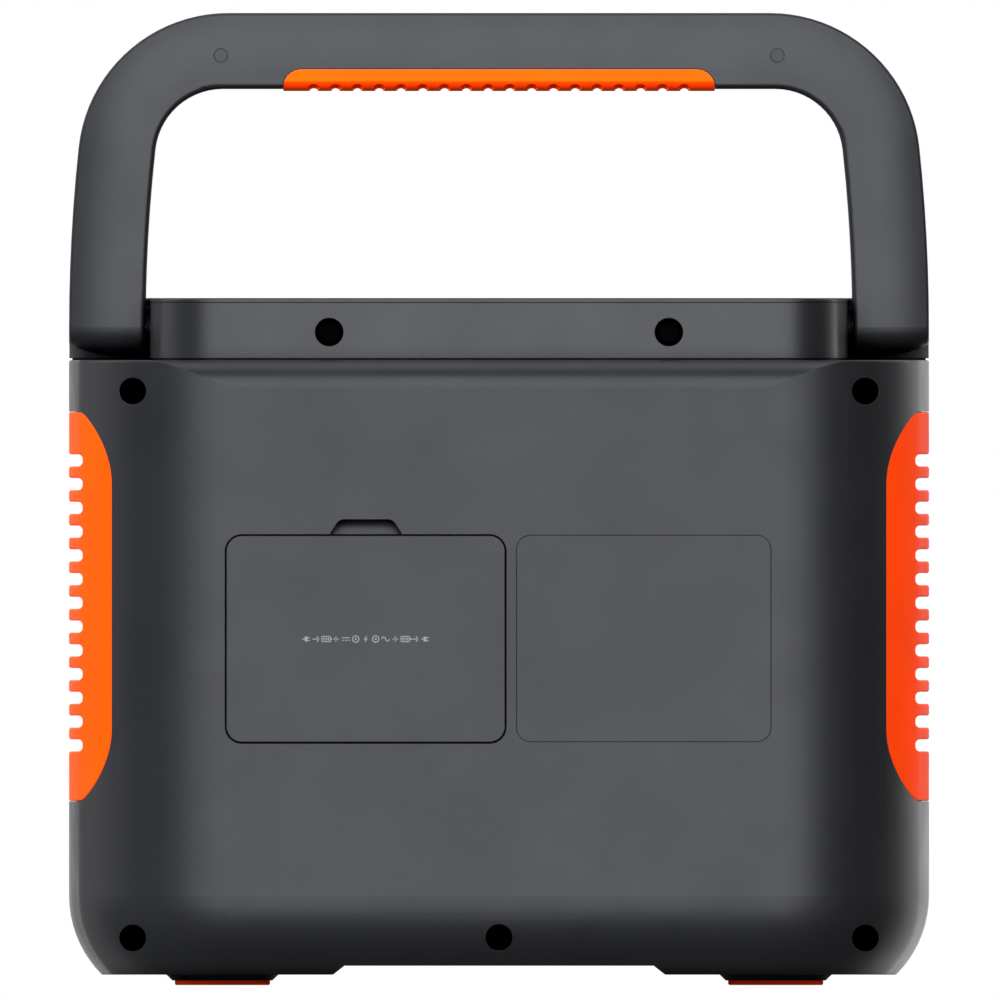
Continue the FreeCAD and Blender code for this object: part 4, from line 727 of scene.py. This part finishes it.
GAUGE_TICKS = 30
GAUGE_LIT = 24
GAUGE_RADIUS = 16.0
TICK_LENGTH = 3.0
TICK_WIDTH = 1.1
GAUGE_BATTERY = (3.0, 9.0)        # rise and height of the battery sign inside the gauge
GAUGE_BOLT = (-6.0, 6.0)
METER_OFFSET = 36.0               # from the display's middle to a meter's middle
METER_SIGN = (12.0, 6.0)
METER_FOOT = -14.0
BAR_COUNT = 9
BAR_ORANGE = 3                    # bars at the high end that are orange
BAR_PITCH = 2.4
BAR_WIDTH = 1.5
BAR_LOWEST = 2.0
BAR_STEP = 1.0
ORANGE_POWER = 1.3
WHITE_POWER = 0.9


def screen_marks():
    """Charge gauge, battery sign and two level meters on the display."""
    centre = wall_centre("display_lens", -1)
    orange = Marks("display_gauge", centre, -1)
    white = Marks("display_meters", centre, -1)
    for index in range(GAUGE_TICKS):
        angle = math.pi / 2 - FULL_TURN * index / GAUGE_TICKS
        ring = orange if index < GAUGE_LIT else white
        ends = [(reach * math.cos(angle), reach * math.sin(angle))
                for reach in (GAUGE_RADIUS - TICK_LENGTH, GAUGE_RADIUS)]
        ring.line(*ends, TICK_WIDTH)
    white.sign(battery_sign, 0.0, *GAUGE_BATTERY)
    white.sign(bolt_sign, 0.0, *GAUGE_BOLT)
    for middle, draw in ((-METER_OFFSET, plug_sign), (METER_OFFSET, jack_sign)):
        white.sign(draw, middle, *METER_SIGN)
        for index in range(BAR_COUNT):
            across = middle + (index - (BAR_COUNT - 1) / 2) * BAR_PITCH
            height = BAR_LOWEST + index * BAR_STEP
            bars = white if index < BAR_COUNT - BAR_ORANGE else orange
            bars.bar(across, METER_FOOT + height / 2, BAR_WIDTH, height)
    orange.finish(screen_light("screen_orange", SCREEN_ORANGE, ORANGE_POWER), "housing")
    white.finish(screen_light("screen_white", SCREEN_WHITE, WHITE_POWER), "housing")


# ---------------------------------------------------------------- light, floor and camera

# Angles are measured from +Y, the side the camera looks at, except the softbox's, which are measured
# from its own middle. A pair is where a light starts to change and where it has changed.
SOFTBOX_RISE = math.radians(18)
SOFTBOX_LEFT_EDGE = (math.radians(20), math.radians(46))
SOFTBOX_RIGHT_EDGE = (math.radians(29), math.radians(43))
SOFTBOX_POWER = 2.6
SOFTBOX_TINT = (0.985, 1.0, 1.07)
SOFTBOX_MIDDLE = (-0.08, 0.08)    # sideways, where the right edge gives way to the left one
SHADE = 0.05
LEFT_RIM = (math.radians(78), math.radians(100))
LEFT_RIM_POWER = 0.95
LEFT_RIM_END = (math.radians(106), math.radians(142))
LEFT_RIM_REST = 0.20
RIGHT_RIM = (math.radians(88), math.radians(128))
RIGHT_RIM_POWER = 0.8
RIM_MIDDLE = (-0.3, -0.1)
LOW_RIM = (math.radians(110), math.radians(135))
FRONT_BOX = (math.radians(163), math.radians(175))
FRONT_BOX_POWER = 1.6
SKY_LIGHT = 1.55
GROUND_LIGHT = 0.50
HORIZON = (-0.1, 0.15)
KEY = (0.633, 0.538, 0.556)
KEY_POWER = 2.1
KEY_SPREAD = math.radians(50)
TOP = (0.05, -0.1, 1.0)
TOP_POWER = 0.3
TOP_SPREAD = math.radians(80)


def softbox(nodes, way, sideways):
    """Broad light behind the camera, with a softer edge on its left."""
    middle = (0.0, math.cos(SOFTBOX_RISE), math.sin(SOFTBOX_RISE))
    off_middle = nodes.math("ARCCOSINE", nodes.vector_math("DOT_PRODUCT", way, middle, "Value"))
    right = nodes.ease(off_middle, *SOFTBOX_RIGHT_EDGE, SOFTBOX_POWER, 0.0)
    left = nodes.ease(off_middle, *SOFTBOX_LEFT_EDGE, SOFTBOX_POWER, 0.0)
    power = nodes.mix(nodes.ease(sideways, *SOFTBOX_MIDDLE), right, left)
    return nodes.vector_math("MULTIPLY", power, SOFTBOX_TINT)


def rims(nodes, angle, sideways, upness):
    """Bright walls beside and beyond the object. Below the horizon they start further round."""
    left = nodes.math("SUBTRACT", nodes.ease(angle, *LEFT_RIM, 0.0, LEFT_RIM_POWER),
                      nodes.ease(angle, *LEFT_RIM_END, 0.0, LEFT_RIM_POWER - LEFT_RIM_REST))
    right = nodes.ease(angle, *RIGHT_RIM, 0.0, RIGHT_RIM_POWER)
    power = nodes.mix(nodes.ease(sideways, *RIM_MIDDLE), right, left)
    gate = nodes.mix(nodes.ease(upness, *HORIZON), nodes.ease(angle, *LOW_RIM), WHITE)
    return nodes.vector_math("MULTIPLY", power, gate)


def studio():
    """White studio. Reflections see a softbox behind the camera, a dark ring round it and bright side
    walls, while matt surfaces get an even light from above the horizon."""
    world = bpy.data.worlds.new("studio")
    world.use_nodes = True
    bpy.context.scene.world = world
    world.cycles.sampling_method = "NONE"
    nodes = Nodes(world.node_tree)
    way = nodes.add("ShaderNodeTexCoord").outputs["Generated"]
    parts = nodes.parts(way)
    angle = nodes.math("ARCCOSINE", parts["Y"])
    front_box = nodes.ease(angle, *FRONT_BOX, 0.0, FRONT_BOX_POWER)
    boxes = nodes.vector_math("ADD", softbox(nodes, way, parts["X"]), nodes.math("ADD", front_box, SHADE))
    mirrored = nodes.vector_math("ADD", rims(nodes, angle, parts["X"], parts["Z"]), boxes)
    even = nodes.ease(parts["Z"], *HORIZON, GROUND_LIGHT, SKY_LIGHT)
    path = nodes.add("ShaderNodeLightPath").outputs
    lit = nodes.mix(path["Is Diffuse Ray"], mirrored, even)
    seen = nodes.mix(path["Is Camera Ray"], lit, WHITE)
    nodes.feed(world.node_tree.nodes["Background"].inputs["Color"], seen)


def matt_sun(name, toward, power, spread):
    """Broad lamp in the direction toward. It lights surfaces and casts soft shadows but shows in no
    reflection."""
    data = bpy.data.lights.new(name, "SUN")
    data.energy = power * math.pi
    data.angle = spread
    lamp = bpy.data.objects.new(name, data)
    lamp.rotation_mode = "QUATERNION"
    lamp.rotation_quaternion = Vector(toward).to_track_quat("Z", "Y")
    lamp.visible_glossy = False
    bpy.context.scene.collection.objects.link(lamp)


def lamps():
    matt_sun("key", KEY, KEY_POWER, KEY_SPREAD)
    matt_sun("top", TOP, TOP_POWER, TOP_SPREAD)


FLOOR_REACH = 40                  # times the object's height
FLOOR_WHITE = opaque(0.86, 0.86, 0.86)


def floor():
    """Pale matt floor. The object's reflections come from the studio, so the floor is left out of them."""
    reach = FLOOR_REACH * cad_size.z
    corners = [(-reach, -reach, 0.0), (reach, -reach, 0.0), (reach, reach, 0.0), (-reach, reach, 0.0)]
    mesh = bpy.data.meshes.new("floor")
    mesh.from_pydata(corners, [], [(0, 1, 2, 3)])
    sheet = bpy.data.objects.new("floor", mesh)
    sheet.location.z = cad_low.z
    bpy.context.scene.collection.objects.link(sheet)
    finish = Finish("floor")
    finish.set(
        colour=finish.tone(FLOOR_WHITE, 0.4, 0.01),
        roughness=0.9,
        level=0.0,
        normal=finish.bump(finish.noise(finish.place, 1.5 * MM, 3.0), 0.02 * MM),
    )
    mesh.materials.append(finish.material)
    sheet.visible_glossy = False
    sheet.visible_diffuse = False


FRAME_MARGIN = 0.01435            # above and below the object, as a share of its height
VIEW_SHARE = 0.79
VIEW_CENTRE = cad_centre + Vector((-0.4 * MM, 0.0, -0.4 * MM))


def camera():
    """Level parallel view of the rear. The picture is as wide as VIEW_SHARE of the camera's distance,
    so that the whole object still fits when the camera is moved round it."""
    width = cad_size.z * (1 + 2 * FRAME_MARGIN)
    data = bpy.data.cameras.new("camera")
    data.type = "ORTHO"
    data.ortho_scale = width
    eye = bpy.data.objects.new("camera", data)
    eye.rotation_mode = "QUATERNION"
    eye.location = VIEW_CENTRE + Vector((0, width / VIEW_SHARE, 0))
    eye.rotation_quaternion = Vector((0, 1, 0)).to_track_quat("Z", "Y")
    target = bpy.data.objects.new("view_centre", None)
    target.location = VIEW_CENTRE
    for item in (eye, target):
        bpy.context.scene.collection.objects.link(item)
    curve = data.driver_add("ortho_scale")
    curve.driver.type = "SUM"
    distance = curve.driver.variables.new()
    distance.type = "LOC_DIFF"
    distance.targets[0].id = eye
    distance.targets[1].id = target
    for old in list(curve.modifiers):
        curve.modifiers.remove(old)
    curve.modifiers.new("GENERATOR").coefficients = (0.0, VIEW_SHARE)
    bpy.context.scene.camera = eye


paint_frame()
sign_ink = ink("sign_ink", INK_GREY)
door_marks(sign_ink)
button_marks(sign_ink)
port_marks(sign_ink)
screen_marks()
studio()
lamps()
floor()
camera()
bpy.context.scene.view_settings.view_transform = "Standard"
